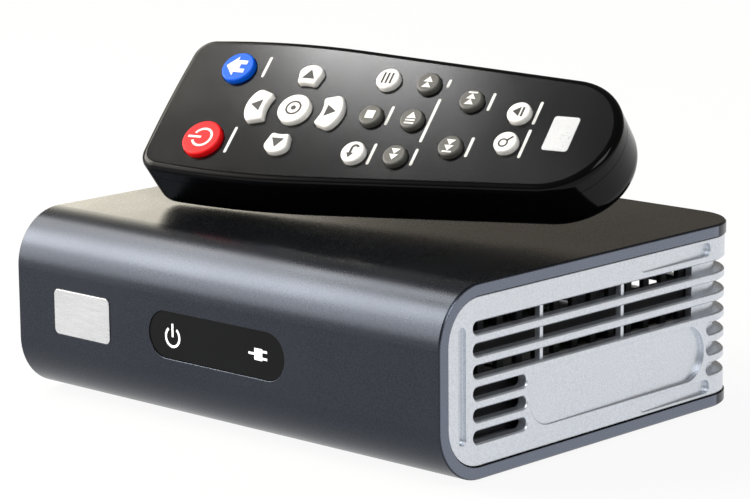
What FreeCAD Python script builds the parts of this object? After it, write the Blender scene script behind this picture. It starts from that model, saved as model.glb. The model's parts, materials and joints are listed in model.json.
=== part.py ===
"""A small set-top media player box with its infrared remote control resting on the lid.

The player is a sleeve shell, open at the back, that wraps round a slotted frame, a tray and a main board.
The remote control stands on its lower long edge on the lid, turned and tilted towards the front.
All lengths are millimetres. X runs along the front, -Y is the front, +Z is up, and the origin is the
middle of the footprint, at the bottom of the rubber feet. The remote is built in its own frame, U along
its length, V across it and N out of its face, with the origin in the middle of its centre key, and is
then set in place.
"""
import FreeCAD
import Part
import math
import os

Vector = FreeCAD.Vector
X_AXIS = Vector(1, 0, 0)
Y_AXIS = Vector(0, 1, 0)
Z_AXIS = Vector(0, 0, 1)
FAR = 300.0                      # longer than any piece, for cutting tools that run right through

# ---------------------------------------------------------------- player: shell and slotted frame
shell_width = 125.5
shell_depth = 100.0
shell_height = 40.0
shell_wall = 2.6
shell_edge_radius = 12.0         # front top and front bottom edges
shell_rear_radius = 12.0         # rear corners, seen from above
rim_break = 0.35                 # bevel on the rim of each open end
foot_stand = 0.8                 # how far the rubber feet stand out

frame_gap = 0.25                 # between the frame and the inside of the shell
frame_recess = 0.3               # the frame's sides lie this far inside the ends of the shell
frame_wall = 2.4
post_thickness = 1.7             # extra wall behind the slots at each rear corner
post_side_start = 33.6           # where the post begins on the side, as Y
post_rear_half = 46.0            # where it ends on the back, as X

slot_height = 2.5
slot_pitch = 4.44
slot_first_height = 8.65         # centre of the lowest slot above the bottom of the shell
slot_count = 6
slot_break = 0.3                 # bevel round the mouth of every slot
slot_front = -39.6               # front end of every side slot, as Y
short_slot_length = 16.2
short_slot_count = 3             # the lowest ones, which leave room for the finger scoop
corner_slot_start = 36.0         # where the lowest slots start again before the corner, as Y
corner_slot_rear_half = 49.5     # where they end on the back, as X
strut_width = 0.9
strut_set_back = 1.0             # struts lie this far behind the face of the bars
side_struts = (-17.8, 8.2)
rear_struts = (-36.0, -18.0, 0.0, 18.0, 36.0)

groove_width = 2.3
groove_depth = 0.9
groove_centre = -43.0            # as Y
groove_bottom = 7.8              # above the bottom of the shell
groove_top = 31.7

scoop_front = -22.6              # large finger scoop, as Y
scoop_rear = 35.1
scoop_bottom = 7.1
scoop_top = 19.2
thin_scoop_front = 13.0          # one narrow scoop above the slots and one below
thin_scoop_rear = 37.0
thin_scoop_height = 2.9
thin_scoop_centres = (4.95, 35.05)
scoop_shallow = 0.12             # depth at the front end of a scoop
scoop_deep = 1.0                 # and at its rear end

# ---------------------------------------------------------------- player: front and underside pieces
window_width = 40.4
window_height = 10.1
window_thickness = 1.0
window_recess = 0.2              # the window's face lies this far inside the shell's face
window_ledge = 1.6               # width of the ledge that it is bonded to
window_centre_height = 19.7      # above the bottom of the shell
window_fit = 0.12

badge_width = 17.7
badge_height = 9.9
badge_thickness = 0.8
badge_proud = 0.2
badge_corner = 1.2
badge_centre_x = -41.5
badge_fit = 0.08

foot_radius = 6.0
foot_recess = 0.8
foot_fit = 0.1
foot_x = 50.0
foot_front_y = -29.5
foot_rear_y = 34.0

# ---------------------------------------------------------------- player: tray, board and fasteners
tray_floor = 1.6
tray_gap = 0.4                   # between the tray and the frame's corner posts
tray_wall = 1.2
tray_wall_top_gap = 0.6          # below the inside of the shell's lid
tray_front = -37.0
tray_lip = 3.6                   # height of the front lip above the tray floor
tray_cut_gap = 0.4               # round whatever passes through the tray's side walls
tray_window_pitch = 5.9
tray_window_width = 4.1
tray_window_height = 4.2
tray_window_rows = (3, 5)        # slots, counted from the bottom, that have windows behind them

lug_length = 14.0                # frame lugs that the case screws hold
lug_width = 11.0
lug_thickness = 2.6
screw_shank_radius = 1.25
screw_bore_clearance = 0.05
case_screw_head_radius = 2.3
case_screw_head_height = 0.9
case_screw_length = 5.0

board_stand = 3.2                # from the tray floor to the underside of the board
board_thickness = 1.6
board_front = -34.5
board_side_gap = 1.75            # from the tray's side walls to the board
standoff_radius = 3.0
standoff_x = 41.0
standoff_front_y = -27.0
standoff_rear_y = 24.0
board_screw_head_radius = 2.6
board_screw_head_height = 1.4
board_screw_length = 4.4

# ---------------------------------------------------------------- player: parts on the board
processor_side = 27.0
processor_height = 2.0
pad_height = 0.8
sink_side = 38.0
sink_base = 2.2
sink_height = 11.0
sink_fins = 9
sink_fin_thickness = 1.2
sink_pin_radius = 1.5
sink_pin_offset = 15.5
sink_x = -8.0
sink_y = -4.0
memory_size = (13.5, 8.0, 1.2)
memory_offset_x = -28.0          # from the middle of the heat sink
memory_spacing = 12.0
capacitor_radius = 3.15
capacitor_height = 8.0
inductor_size = (6.5, 6.5, 3.2)
controller_size = (12.0, 12.0, 1.4)
power_parts_x = 24.0             # first of each row of power parts
power_parts_pitch = 9.0
capacitor_row_y = -18.0
inductor_row_y = -7.0
controller_y = 10.0
led_size = (3.2, 1.6, 1.2)
led_y = -33.0
light_spot_x = 13.1              # the two lamps lie this far each side of the middle
guide_width = 5.0
guide_leg = 2.8
guide_gap = 0.1                  # to the window in front and to the lamps below
guide_bar_height = 3.0

port_fit = 0.3                   # gap round each connector in the frame
port_inset = 0.2                 # the connectors end this far inside the frame's face
power_x = 39.8
power_body = (9.0, 14.0, 10.4)
power_bore_radius = 2.85
power_bore_depth = 10.0
power_pin_radius = 1.0
power_pin_length = 8.5
usb_rear_x = 26.6
usb_side_y = 12.0
usb_body = (13.1, 14.0, 5.7)
usb_metal = 0.35
usb_tongue_height = 1.8
usb_tongue_gap = 0.65            # between the tongue and the roof of the port
hdmi_x = 11.0
hdmi_body = (15.0, 11.0, 5.6)
hdmi_metal = 0.4
hdmi_corner = 1.4
hdmi_tongue_height = 1.2
tongue_side_gap = 0.65           # each side of a tongue
tongue_set_back = 1.0            # from the mouth of a port to its tongue
socket_back = 1.2                # thickness at the back of a port
optical_x = -3.0
optical_body = (9.8, 13.0, 9.8)
optical_bore = 6.4
optical_bore_depth = 9.2
optical_bevel = 1.2              # on the top corners
shutter_thickness = 0.8
shutter_set_back = 0.6           # from the mouth to the closed shutter
shutter_pin_radius = 0.4
shutter_pin_lift = 0.6           # the pin lies this far above the bore
shutter_pin_length = 7.8
shutter_fit = 0.15
shutter_swing_gap = 0.6          # above and behind the pin
av_first_x = -39.6
av_pitch = 12.4
av_body = (11.6, 12.0, 11.4)
av_face_gap = 0.3                # between the jack's block and the inside of the frame
av_well_radius = 5.0
av_barrel_radius = 4.15
av_barrel_bore = 1.75
av_barrel_length = 9.0
av_bore_depth = 7.5

reset_y = -12.0
reset_radius = 1.1
reset_fit = 0.15
reset_travel = 0.5
reset_recess = 0.9               # the button's tip lies this far inside the frame's side
reset_end_gap = 0.1              # between the pressed button and its switch
reset_flange_radius = 1.9
reset_flange_gap = 0.2           # between the flange and the tray's side wall
reset_switch_size = (4.5, 6.0, 5.0)

# ---------------------------------------------------------------- remote control: place and case
remote_yaw = 12.35               # its length is turned this far from the front of the player, degrees
remote_tilt = 42.5               # its face is tilted this far from lying flat, degrees
remote_x = -15.1                 # place of the centre key over the player
remote_y = -10.1
remote_rest_gap = 0.3            # between its lower edge and the lid

remote_front = 34.2              # from the centre key to the infrared end
remote_front_bulge = 0.6         # how far the middle of that end stands out
remote_front_corner = 5.0
remote_tail_centre = 62.9        # from the centre key to the centre of the round tail
remote_tail_radius = 15.1
remote_taper = 4.0               # of each long side towards the tail, degrees
remote_widest = -8.0             # where it is widest, as U
remote_shoulder_radius = 250.0   # of the long sides about the widest place
remote_thickness = 17.0          # from the face to the middle of the back, at the centre key
remote_rise = 1.2                # the back comes nearer the face towards the tail, degrees
remote_crown_radius = 57.0       # of the back, across its width
remote_back_round = 4.8
remote_face_round = 1.6
remote_wall = 1.8
remote_floor = 2.6               # thickness of the back inside the round edge
remote_lid_thickness = 1.4
remote_parting = 4.0             # depth of the joint between the two cases
remote_parting_gap = 0.12

plate_margin = 0.1               # between the round edge and the satin face plate
plate_thickness = 0.4
plate_fit = 0.05
label_length = 6.0
label_width = 9.0
label_centre = 65.0
label_thickness = 0.3
label_proud = 0.05
label_corner = 0.7

# ---------------------------------------------------------------- remote control: keys
key_height = 1.2                 # above the face
key_edge = 0.45                  # rounding of a key's top
key_fit = 0.2                    # gap round a key in its hole
key_flange = 0.6                 # width of the flange that keeps it in
key_flange_thickness = 0.4
key_flange_gap = 0.1
key_travel = 0.8
key_under_gap = 0.1              # left under a pressed key
petal_reach = 12.3               # from the centre key to the far edge of an arrow key
petal_inner_radius = 7.2
petal_outer_corner = 1.7
petal_inner_corner = 0.7
round_keys = {                   # name: (U, V, radius)
    "power_key": (-19.2, -10.15, 4.7),
    "home_key": (-19.2, 10.15, 4.0),
    "enter_key": (0.0, 0.0, 3.9),
    "back_key": (19.45, -10.15, 2.8),
    "stop_key": (19.45, 0.0, 2.7),
    "menu_key": (19.45, 10.15, 2.8),
    "rewind_key": (29.6, -9.95, 2.7),
    "play_pause_key": (29.6, 0.0, 2.7),
    "fast_forward_key": (29.6, 9.95, 2.7),
    "previous_key": (41.5, -6.3, 2.7),
    "next_key": (41.5, 6.3, 2.7),
    "search_key": (53.9, -4.0, 2.7),
    "eject_key": (53.9, 4.0, 2.7),
}
petal_keys = {                   # name: direction in degrees, outer radius, half width far out and near
    "up_key": (180.0, 6.4, 4.6, 3.4),
    "down_key": (0.0, 6.4, 4.6, 3.4),
    "left_key": (-90.0, 3.6, 3.1, 2.2),
    "right_key": (90.0, 3.6, 3.1, 2.2),
}

# ---------------------------------------------------------------- remote control: inside and battery door
mat_thickness = 0.35
mat_inset = 3.4
mat_end = 57.0
remote_board_thickness = 0.9
remote_board_inset = 2.7
remote_board_end = 67.0
cell_radius = 5.0
cell_length = 43.7
cell_nub_radius = 1.9
cell_nub_length = 0.8
cell_start = 22.8
cell_spacing = 11.0
cell_top_gap = 0.1
cell_side_gap = 0.3
cell_end_gap = 0.1
contact_thickness = 0.4
contact_width = 7.0
contact_height = 8.6
bay_wall = 2.9
door_start = 21.4
door_half_width = 12.0           # at the level of the middle of the back
door_flare = 20.0                # the door widens inwards by this angle on each side, degrees
door_thickness = 1.1
door_fit = 0.15
grip_count = 6
grip_first = 27.0
grip_pitch = 1.9
grip_width = 0.9
grip_depth = 0.4
grip_half_length = 7.0
remote_screw_u = -27.5
remote_screw_v = 12.6
remote_screw_radius = 1.0
remote_screw_fit = 0.1
remote_screw_head_radius = 1.9
remote_screw_head_height = 1.2
remote_screw_head_level = -8.0   # top of the head, below the face
remote_screw_end = -2.2
remote_boss_radius = 2.3
remote_column_radius = 3.1
ir_window_width = 9.0
ir_window_height = 4.6
ir_window_fit = 0.1
ir_window_depth = 1.6
ir_level = -6.9                  # centre of the infrared window below the face
ir_lamp_radius = 2.3
ir_lamp_length = 6.5
ir_lamp_gap = 0.4                # between the lamp and its window
ir_collar = 1.2

# ---------------------------------------------------------------- derived levels and faces
shell_bottom = foot_stand
shell_top = shell_bottom + shell_height
half_width = shell_width / 2
half_depth = shell_depth / 2
floor_level = shell_bottom + shell_wall
ceiling_level = shell_top - shell_wall
tray_level = floor_level + tray_floor
board_level = tray_level + board_stand
board_top = board_level + board_thickness
frame_inner_x = half_width - frame_recess - frame_wall
frame_inner_y = half_depth - frame_recess - frame_wall
front_face = -half_depth
front_inner = front_face + shell_wall
room_inset = frame_recess + frame_wall + post_thickness + tray_gap
tray_outer_x = half_width - room_inset
tray_inner_x = tray_outer_x - tray_wall
board_half_width = tray_inner_x - board_side_gap
rear_face = half_depth - frame_recess
port_face = rear_face - port_inset
side_port_face = half_width - frame_recess - scoop_deep
reset_level = board_top + reset_switch_size[2] / 2
window_back = front_face + window_recess + window_thickness
window_level = shell_bottom + window_centre_height

lid_under = -remote_lid_thickness
key_under = lid_under - key_flange_gap - key_flange_thickness
mat_top = key_under - key_travel - key_under_gap
remote_board_top = mat_top - mat_thickness
remote_board_under = remote_board_top - remote_board_thickness
cell_level = remote_board_under - cell_top_gap - cell_radius
bay_front = cell_start - contact_thickness
bay_rear = cell_start + cell_length + cell_nub_length + cell_end_gap + contact_thickness
bay_half_width = cell_spacing / 2 + cell_radius + cell_side_gap
case_top = -remote_parting - remote_parting_gap
crown_level = remote_crown_radius - remote_thickness
taper_angle = math.radians(remote_taper)
tangent_u = remote_tail_centre + remote_tail_radius * math.sin(taper_angle)
tangent_v = remote_tail_radius * math.cos(taper_angle)
shoulder_end = remote_widest + remote_shoulder_radius * math.sin(taper_angle)
remote_half_width = (tangent_v + math.tan(taper_angle) * (tangent_u - shoulder_end)
                     + remote_shoulder_radius * (1 - math.cos(taper_angle)))


# ---------------------------------------------------------------- general helpers
def box(x_range, y_range, z_range):
    """A block between pairs of coordinates."""
    size = [high - low for low, high in (x_range, y_range, z_range)]
    return Part.makeBox(*size, Vector(x_range[0], y_range[0], z_range[0]))


def rod(start, radius, length, axis=Z_AXIS):
    """A round bar from a point along an axis."""
    return Part.makeCylinder(radius, length, Vector(*start), axis)


def fuse(shapes):
    """One solid from several that touch or overlap."""
    shapes = list(shapes)
    joined = shapes[0].multiFuse(shapes[1:]) if len(shapes) > 1 else shapes[0]
    return joined.removeSplitter()


def cut(body, tools):
    """The body with every tool taken out of it."""
    return body.cut(Part.Compound(list(tools))).removeSplitter()


def both_sides(shape):
    """A shape and its mirror image across the middle of the player."""
    return [shape, shape.mirror(Vector(0, 0, 0), X_AXIS)]


def stadium(length, width, height):
    """A flat bar with round ends along X, from Z = 0 up, centred on the origin."""
    radius = width / 2
    reach = length / 2 - radius
    ends = [rod((side * reach, 0, 0), radius, height) for side in (-1, 1)]
    return fuse([box((-reach, reach), (-radius, radius), (0, height))] + ends)


def rounded_plate(width, depth, height, corner):
    """A flat plate with round corners, from Z = 0 up, centred on the origin."""
    plate = box((-width / 2, width / 2), (-depth / 2, depth / 2), (0, height))
    upright = [e for e in plate.Edges if abs(e.tangentAt(e.FirstParameter).z) > 0.9]
    return plate.makeFillet(corner, upright)


def facing_front(shape, x, z, y):
    """Turns a flat shape so that its top faces -Y, with its bottom at the given place."""
    turned = shape.copy()
    turned.rotate(Vector(0, 0, 0), X_AXIS, 90)
    turned.translate(Vector(x, y, z))
    return turned


def facing_side(shape, y, z, x):
    """Turns a flat shape, long side along Y, so that its top faces +X."""
    turned = shape.copy()
    turned.rotate(Vector(0, 0, 0), Z_AXIS, 90)
    turned.rotate(Vector(0, 0, 0), Y_AXIS, 90)
    turned.translate(Vector(x, y, z))
    return turned


# ---------------------------------------------------------------- player: shell
def side_profile(inset, x_half, rear):
    """The player's side outline, with round front edges, as a bar across the whole width."""
    radius = shell_edge_radius - inset
    bar = box((-x_half, x_half), (front_face + inset, rear), (shell_bottom + inset, shell_top - inset))
    front_edges = [e for e in bar.Edges
                   if abs(e.tangentAt(e.FirstParameter).x) > 0.9
                   and abs(e.CenterOfMass.y - front_face - inset) < 0.01]
    return bar.makeFillet(radius, front_edges)


def plan_block(inset, low, high, front=-FAR):
    """The player's outline seen from above, with round rear corners, as an upright block."""
    x_half = half_width - inset
    block = box((-x_half, x_half), (front, half_depth - inset), (low, high))
    rear_edges = [e for e in block.Edges
                  if abs(e.tangentAt(e.FirstParameter).z) > 0.9 and e.CenterOfMass.y > 0]
    return block.makeFillet(shell_rear_radius - inset, rear_edges)


def foot_places():
    """Centres of the four feet and of the case screws above them."""
    return [(x, y) for x in (-foot_x, foot_x) for y in (foot_front_y, foot_rear_y)]


def shell_recesses():
    """Everything that is cut into the sleeve: window, badge, feet and screw holes."""
    window_z = shell_bottom + window_centre_height
    window_seat = window_recess + window_thickness
    pocket = stadium(window_width + 2 * window_fit, window_height + 2 * window_fit, window_seat)
    opening = stadium(window_width - 2 * window_ledge, window_height - 2 * window_ledge, FAR / 10)
    badge_seat = badge_thickness - badge_proud
    badge = rounded_plate(badge_width + 2 * badge_fit, badge_height + 2 * badge_fit, badge_seat,
                          badge_corner + badge_fit)
    tools = [
        facing_front(pocket, 0, window_z, front_face + window_seat),
        facing_front(opening, 0, window_z, front_inner + 1),
        facing_front(badge, badge_centre_x, window_z, front_face + badge_seat),
    ]
    for x, y in foot_places():
        tools.append(rod((x, y, 0), foot_radius + foot_fit, shell_bottom + foot_recess))
        tools.append(rod((x, y, 0), case_screw_head_radius + foot_fit,
                         shell_bottom + foot_recess + case_screw_head_height))
        tools.append(rod((x, y, 0), screw_shank_radius + screw_bore_clearance, floor_level + 1))
    return tools


def outer_shell():
    """The one-piece sleeve: lid, round front and floor, open at both ends and at the back."""
    solid = side_profile(0, half_width, half_depth).common(plan_block(0, 0, FAR))
    rims = [e for e in solid.Edges if abs(abs(e.CenterOfMass.x) - half_width) < 0.01
            and e.BoundBox.XLength < 0.01]
    solid = solid.makeChamfer(rim_break, rims)
    hollow = side_profile(shell_wall, FAR, FAR)
    return cut(solid, [hollow] + shell_recesses())


# ---------------------------------------------------------------- player: slotted frame
def slot_level(index):
    """Height of the centre of a slot, counted from the bottom."""
    return shell_bottom + slot_first_height + index * slot_pitch


def side_band(depth, low, high):
    """A band of the frame's outer surface, of the given depth, as a cutting tool."""
    return plan_block(-1, low, high).cut(plan_block(frame_recess + depth, low, high))


def through_side(y, z, radius):
    """A round tool through both side walls."""
    return rod((-FAR / 2, y, z), radius, FAR, X_AXIS)


def struts():
    """Thin uprights left behind the bars, at the sides and across the back."""
    outer_x = half_width - frame_recess - strut_set_back
    outer_y = rear_face - strut_set_back
    half = strut_width / 2
    sides = [box((-outer_x, outer_x), (y - half, y + half), (0, FAR)) for y in side_struts]
    back = [box((x - half, x + half), (0, outer_y), (0, FAR)) for x in rear_struts]
    return fuse(sides + back)


def long_slot(level, radius, depth):
    """A slot's tool that runs along one side, round the back and along the other side."""
    start = slot_front + slot_height / 2
    band = side_band(depth, level - radius, level + radius)
    band = band.common(box((-FAR, FAR), (start, FAR), (0, FAR)))
    inner_x = half_width - frame_recess - depth
    ends = through_side(start, level, radius).cut(box((-inner_x, inner_x), (-FAR, FAR), (0, FAR)))
    return fuse([band, ends])


def short_slot(level, radius, depth):
    """The right side's tools: a short slot at its front, and the notch round its rear corner."""
    spread = 2 * radius - slot_height
    inner_x = half_width - frame_recess - depth
    inner_y = half_depth - frame_recess - depth
    bar = stadium(short_slot_length + spread, 2 * radius, FAR)
    bar = facing_side(bar, slot_front + short_slot_length / 2, level, inner_x)
    side_start = corner_slot_start + slot_height / 2
    rear_start = corner_slot_rear_half + slot_height / 2
    band = side_band(depth, level - radius, level + radius)
    notch = band.common(box((rear_start, FAR), (side_start, FAR), (0, FAR)))
    side_end = rod((inner_x, side_start, level), radius, FAR, X_AXIS)
    rear_end = rod((rear_start, inner_y, level), radius, FAR, Y_AXIS)
    return [bar, fuse([notch, side_end, rear_end])]


def flared(tool):
    """A shallow slot tool with its inner edges bevelled, which flares the slot's mouth."""
    inner = Part.Shell(plan_block(frame_recess + slot_break, 0, FAR).Faces)

    def on_inner(edge):
        first, last = edge.FirstParameter, edge.LastParameter
        places = [Part.Vertex(edge.valueAt(first + (last - first) * share)) for share in (0.1, 0.5, 0.9)]
        return all(place.distToShape(inner)[0] < 0.01 for place in places)

    return tool.makeChamfer(slot_break, [e for e in tool.Edges if on_inner(e)])


def slots():
    """The tools of every slot, each with its flared mouth. The struts stand behind the long ones."""
    radius = slot_height / 2
    uprights = struts()
    tools = []
    for i in range(slot_count):
        level = slot_level(i)
        if i < short_slot_count:
            mouths = short_slot(level, radius + slot_break, slot_break)
            for tool in short_slot(level, radius, frame_wall) + [flared(mouth) for mouth in mouths]:
                tools += both_sides(tool)
        else:
            tools.append(long_slot(level, radius, frame_wall).cut(uprights))
            tools.append(flared(long_slot(level, radius + slot_break, slot_break)))
    return tools


def scoop(front, rear, height, level):
    """A finger scoop in the right side that deepens towards the back."""
    length = rear - front
    face_x = half_width - frame_recess
    pill = facing_side(stadium(length, height, scoop_deep + 2), (front + rear) / 2, level,
                       face_x - scoop_deep - 1)
    slope = math.degrees(math.atan((scoop_deep - scoop_shallow) / length))
    floor = box((face_x - scoop_shallow, face_x + FAR), (0, FAR), (-FAR / 2, FAR / 2))
    floor.rotate(Vector(face_x - scoop_shallow, 0, 0), Z_AXIS, slope)
    floor.translate(Vector(0, front, 0))
    return pill.common(floor)


def side_reliefs():
    """The upright groove and the three scoops of each side."""
    groove_length = groove_top - groove_bottom
    groove = stadium(groove_length, groove_width, groove_depth + 1)
    groove.rotate(Vector(0, 0, 0), Z_AXIS, 90)
    groove = facing_side(groove, groove_centre, shell_bottom + (groove_top + groove_bottom) / 2,
                         half_width - frame_recess - groove_depth)
    large = scoop(scoop_front, scoop_rear, scoop_top - scoop_bottom,
                  shell_bottom + (scoop_top + scoop_bottom) / 2)
    thin = [scoop(thin_scoop_front, thin_scoop_rear, thin_scoop_height, shell_bottom + centre)
            for centre in thin_scoop_centres]
    return [tool for relief in [groove, large] + thin for tool in both_sides(relief)]


def frame_lugs():
    """Four lugs on the frame's sides that the case screws pull down onto the tray."""
    lugs = []
    for x, y in foot_places():
        side = math.copysign(1, x)
        reach = sorted((side * (frame_inner_x + 0.5), side * (frame_inner_x - lug_length)))
        lug = box(reach, (y - lug_width / 2, y + lug_width / 2), (tray_level, tray_level + lug_thickness))
        bore = rod((x, y, 0), screw_shank_radius + screw_bore_clearance, FAR)
        lugs.append(lug.cut(bore))
    return lugs


def port_openings():
    """Holes in the frame for the connectors and the reset button."""
    through = (frame_inner_y - 1, FAR)
    tools = []
    for x, body in ((usb_rear_x, usb_body), (hdmi_x, hdmi_body), (optical_x, optical_body), (power_x, power_body)):
        half = body[0] / 2 + port_fit
        tools.append(box((x - half, x + half), through, (board_top - port_fit, board_top + body[2] + port_fit)))
    for x in av_places():
        tools.append(rod((x, frame_inner_y - 1, board_top + av_body[2] / 2), av_well_radius + port_fit, FAR, Y_AXIS))
    half = usb_body[0] / 2 + port_fit
    tools.append(box((-FAR, 1 - frame_inner_x), (usb_side_y - half, usb_side_y + half),
                     (board_top - port_fit, board_top + usb_body[2] + port_fit)))
    tools.append(rod((-FAR, reset_y, reset_level), reset_radius + reset_fit, FAR - tray_inner_x + 1, X_AXIS))
    return tools


def vent_frame():
    """The slotted frame: two sides and a back in one moulding, with corner posts and screw lugs."""
    inset = shell_wall + frame_gap
    solid = side_profile(inset, half_width, half_depth).common(plan_block(frame_recess, 0, FAR))
    room = plan_block(frame_recess + frame_wall, 0, FAR)
    post_band = room.cut(plan_block(frame_recess + frame_wall + post_thickness, 0, FAR))
    corner = box((post_rear_half, FAR), (post_side_start, FAR), (0, FAR))
    room = room.cut(fuse([post_band.common(side) for side in both_sides(corner)]))
    frame = fuse([solid.cut(room)] + frame_lugs())
    return cut(frame, slots() + side_reliefs() + port_openings())


# ---------------------------------------------------------------- player: tray and board
def av_places():
    """Places of the three round jacks along the back."""
    return [av_first_x + i * av_pitch for i in range(3)]


def standoff_places():
    """Places of the four posts that carry the board."""
    return [(x, y) for x in (-standoff_x, standoff_x) for y in (standoff_front_y, standoff_rear_y)]


def tray_windows():
    """Windows in the tray's side walls, in rows behind some of the slots."""
    reach = post_side_start - slot_front
    count = int(reach // tray_window_pitch)
    first = slot_front + (reach - (count - 1) * tray_window_pitch) / 2
    half_size = (tray_window_width / 2, tray_window_height / 2)
    tools = []
    for row in tray_window_rows:
        level = slot_level(row)
        for i in range(count):
            y = first + i * tray_window_pitch
            tools.append(box((-FAR, FAR), (y - half_size[0], y + half_size[0]),
                             (level - half_size[1], level + half_size[1])))
    return tools


def tray_side_cuts():
    """Openings in the tray's side walls for the frame's lugs, the side port and the reset button."""
    tools = []
    lug_half = lug_width / 2 + tray_cut_gap
    lug_room = (tray_level, tray_level + lug_thickness + tray_cut_gap)
    for x, y in foot_places():
        reach = sorted((math.copysign(tray_inner_x - 1, x), math.copysign(FAR, x)))
        tools.append(box(reach, (y - lug_half, y + lug_half), lug_room))
    port_half = usb_body[0] / 2 + tray_cut_gap
    tools.append(box((-FAR, 1 - tray_inner_x), (usb_side_y - port_half, usb_side_y + port_half),
                     (board_top - tray_cut_gap, board_top + usb_body[2] + tray_cut_gap)))
    tools.append(rod((-FAR, reset_y, reset_level), reset_radius + reset_fit, FAR - tray_inner_x + 1, X_AXIS))
    return tools


def base_tray():
    """The tray: a floor, two windowed side walls, a front lip and four posts for the board."""
    tray = plan_block(room_inset, floor_level, ceiling_level - tray_wall_top_gap, front=tray_front)
    width = (-tray_inner_x, tray_inner_x)
    room = box(width, (tray_front + tray_wall, FAR), (tray_level, FAR))
    above_lip = box(width, (-FAR, FAR), (tray_level + tray_lip, FAR))
    tray = cut(tray, [room, above_lip] + tray_windows() + tray_side_cuts())
    posts = [rod((x, y, floor_level), standoff_radius, board_level - floor_level) for x, y in standoff_places()]
    tray = fuse([tray] + posts)
    bores = [rod((x, y, 0), screw_shank_radius + screw_bore_clearance, FAR)
             for x, y in foot_places() + standoff_places()]
    return cut(tray, bores)


def main_board():
    """The main circuit board, with round rear corners inside the frame's posts."""
    board = plan_block(room_inset, board_level, board_top, front=board_front)
    board = board.common(box((-board_half_width, board_half_width), (-FAR, FAR), (0, FAR)))
    bores = [rod((x, y, 0), screw_shank_radius + screw_bore_clearance, FAR) for x, y in standoff_places()]
    return cut(board, bores)


def on_board(size, x, y, level=board_top):
    """A block of the given size, centred over a place on the board."""
    return box((x - size[0] / 2, x + size[0] / 2), (y - size[1] / 2, y + size[1] / 2), (level, level + size[2]))


def processor():
    return on_board((processor_side, processor_side, processor_height), sink_x, sink_y)


def thermal_pad():
    level = board_top + processor_height
    return on_board((processor_side, processor_side, pad_height), sink_x, sink_y, level)


def heat_sink():
    """A finned heat sink on the processor, with two pins that reach the board."""
    level = board_top + processor_height + pad_height
    base = on_board((sink_side, sink_side, sink_base), sink_x, sink_y, level)
    pitch = (sink_side - sink_fin_thickness) / (sink_fins - 1)
    fins = [on_board((sink_fin_thickness, sink_side, sink_height), sink_x + (i - (sink_fins - 1) / 2) * pitch,
                     sink_y, level) for i in range(sink_fins)]
    pins = [rod((sink_x + side * sink_pin_offset, sink_y + side * sink_pin_offset, board_top), sink_pin_radius,
                level + sink_base - board_top) for side in (-1, 1)]
    return fuse([base] + fins + pins)


def memory_chips():
    places = [sink_y + side * memory_spacing / 2 for side in (-1, 1)]
    return Part.Compound([on_board(memory_size, sink_x + memory_offset_x, y) for y in places])


def board_parts():
    """Capacitors, inductors and the drive controller, on the free side of the board."""
    row = [power_parts_x + i * power_parts_pitch for i in range(3)]
    cans = [rod((x, capacitor_row_y, board_top), capacitor_radius, capacitor_height) for x in row]
    coils = [on_board(inductor_size, x, inductor_row_y) for x in row[:2]]
    return Part.Compound(cans + coils + [on_board(controller_size, row[1], controller_y)])


def indicator_leds():
    return Part.Compound([on_board(led_size, side * light_spot_x, led_y) for side in (-1, 1)])


def light_guide():
    """Two bent light pipes on a bridge that stands on the board, from the lamps to the window."""
    leg = (led_y - guide_leg / 2, led_y + guide_leg / 2)
    arm = (window_level - guide_width / 2, window_level + guide_width / 2)
    pieces = []
    for side in (-1, 1):
        width = (side * light_spot_x - guide_width / 2, side * light_spot_x + guide_width / 2)
        pieces.append(box(width, (window_back + guide_gap, leg[1]), arm))
        pieces.append(box(width, leg, (board_top + led_size[2] + guide_gap, arm[1])))
    pieces.append(box((-light_spot_x, light_spot_x), leg, (arm[1] - guide_bar_height, arm[1])))
    pieces.append(box((-guide_leg / 2, guide_leg / 2), leg, (board_top, arm[1])))
    return fuse(pieces)


def screw(x, y, seat, head_radius, head_height, shank, up):
    """A round-head screw: its head lies under the seat when the shank points up, or above it."""
    head_bottom = seat - head_height if up else seat
    shank_bottom = seat if up else seat - shank
    return fuse([rod((x, y, head_bottom), head_radius, head_height),
                 rod((x, y, shank_bottom), screw_shank_radius, shank)])


def case_screws():
    seat = shell_bottom + foot_recess + case_screw_head_height
    return Part.Compound([screw(x, y, seat, case_screw_head_radius, case_screw_head_height, case_screw_length, True)
                          for x, y in foot_places()])


def board_screws():
    return Part.Compound([screw(x, y, board_top, board_screw_head_radius, board_screw_head_height,
                                board_screw_length, False) for x, y in standoff_places()])


def rubber_feet():
    return Part.Compound([rod((x, y, 0), foot_radius, foot_stand + foot_recess) for x, y in foot_places()])


def indicator_window():
    return facing_front(stadium(window_width, window_height, window_thickness), 0, window_level, window_back)


def badge_plate():
    plate = rounded_plate(badge_width, badge_height, badge_thickness, badge_corner)
    return facing_front(plate, badge_centre_x, window_level, front_face + badge_thickness - badge_proud)


# ---------------------------------------------------------------- player: connectors, mouth at Y = 0
def socket_body(size):
    """The block of a connector: its mouth faces +Y at Y = 0 and its underside is at Z = 0."""
    return box((-size[0] / 2, size[0] / 2), (-size[1], 0), (0, size[2]))


def set_rear(shape, x):
    """Puts a connector on the board with its mouth at the back of the player."""
    placed = shape.copy()
    placed.translate(Vector(x, port_face, board_top))
    return placed


def usb_port():
    """A flat socket: a folded metal shell with a tongue inside."""
    width, depth, height = usb_body
    half = width / 2 - usb_metal
    room = box((-half, half), (socket_back - depth, 1), (usb_metal, height - usb_metal))
    roof = height - usb_metal - usb_tongue_gap
    tongue_half = half - tongue_side_gap
    tongue = box((-tongue_half, tongue_half), (-depth / 2 - depth / 4, -tongue_set_back),
                 (roof - usb_tongue_height, roof))
    tongue_root = box((-tongue_half, tongue_half), (socket_back / 2 - depth, -depth / 2),
                      (roof - usb_tongue_height, roof))
    return fuse([socket_body(usb_body).cut(room), tongue, tongue_root])


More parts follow.
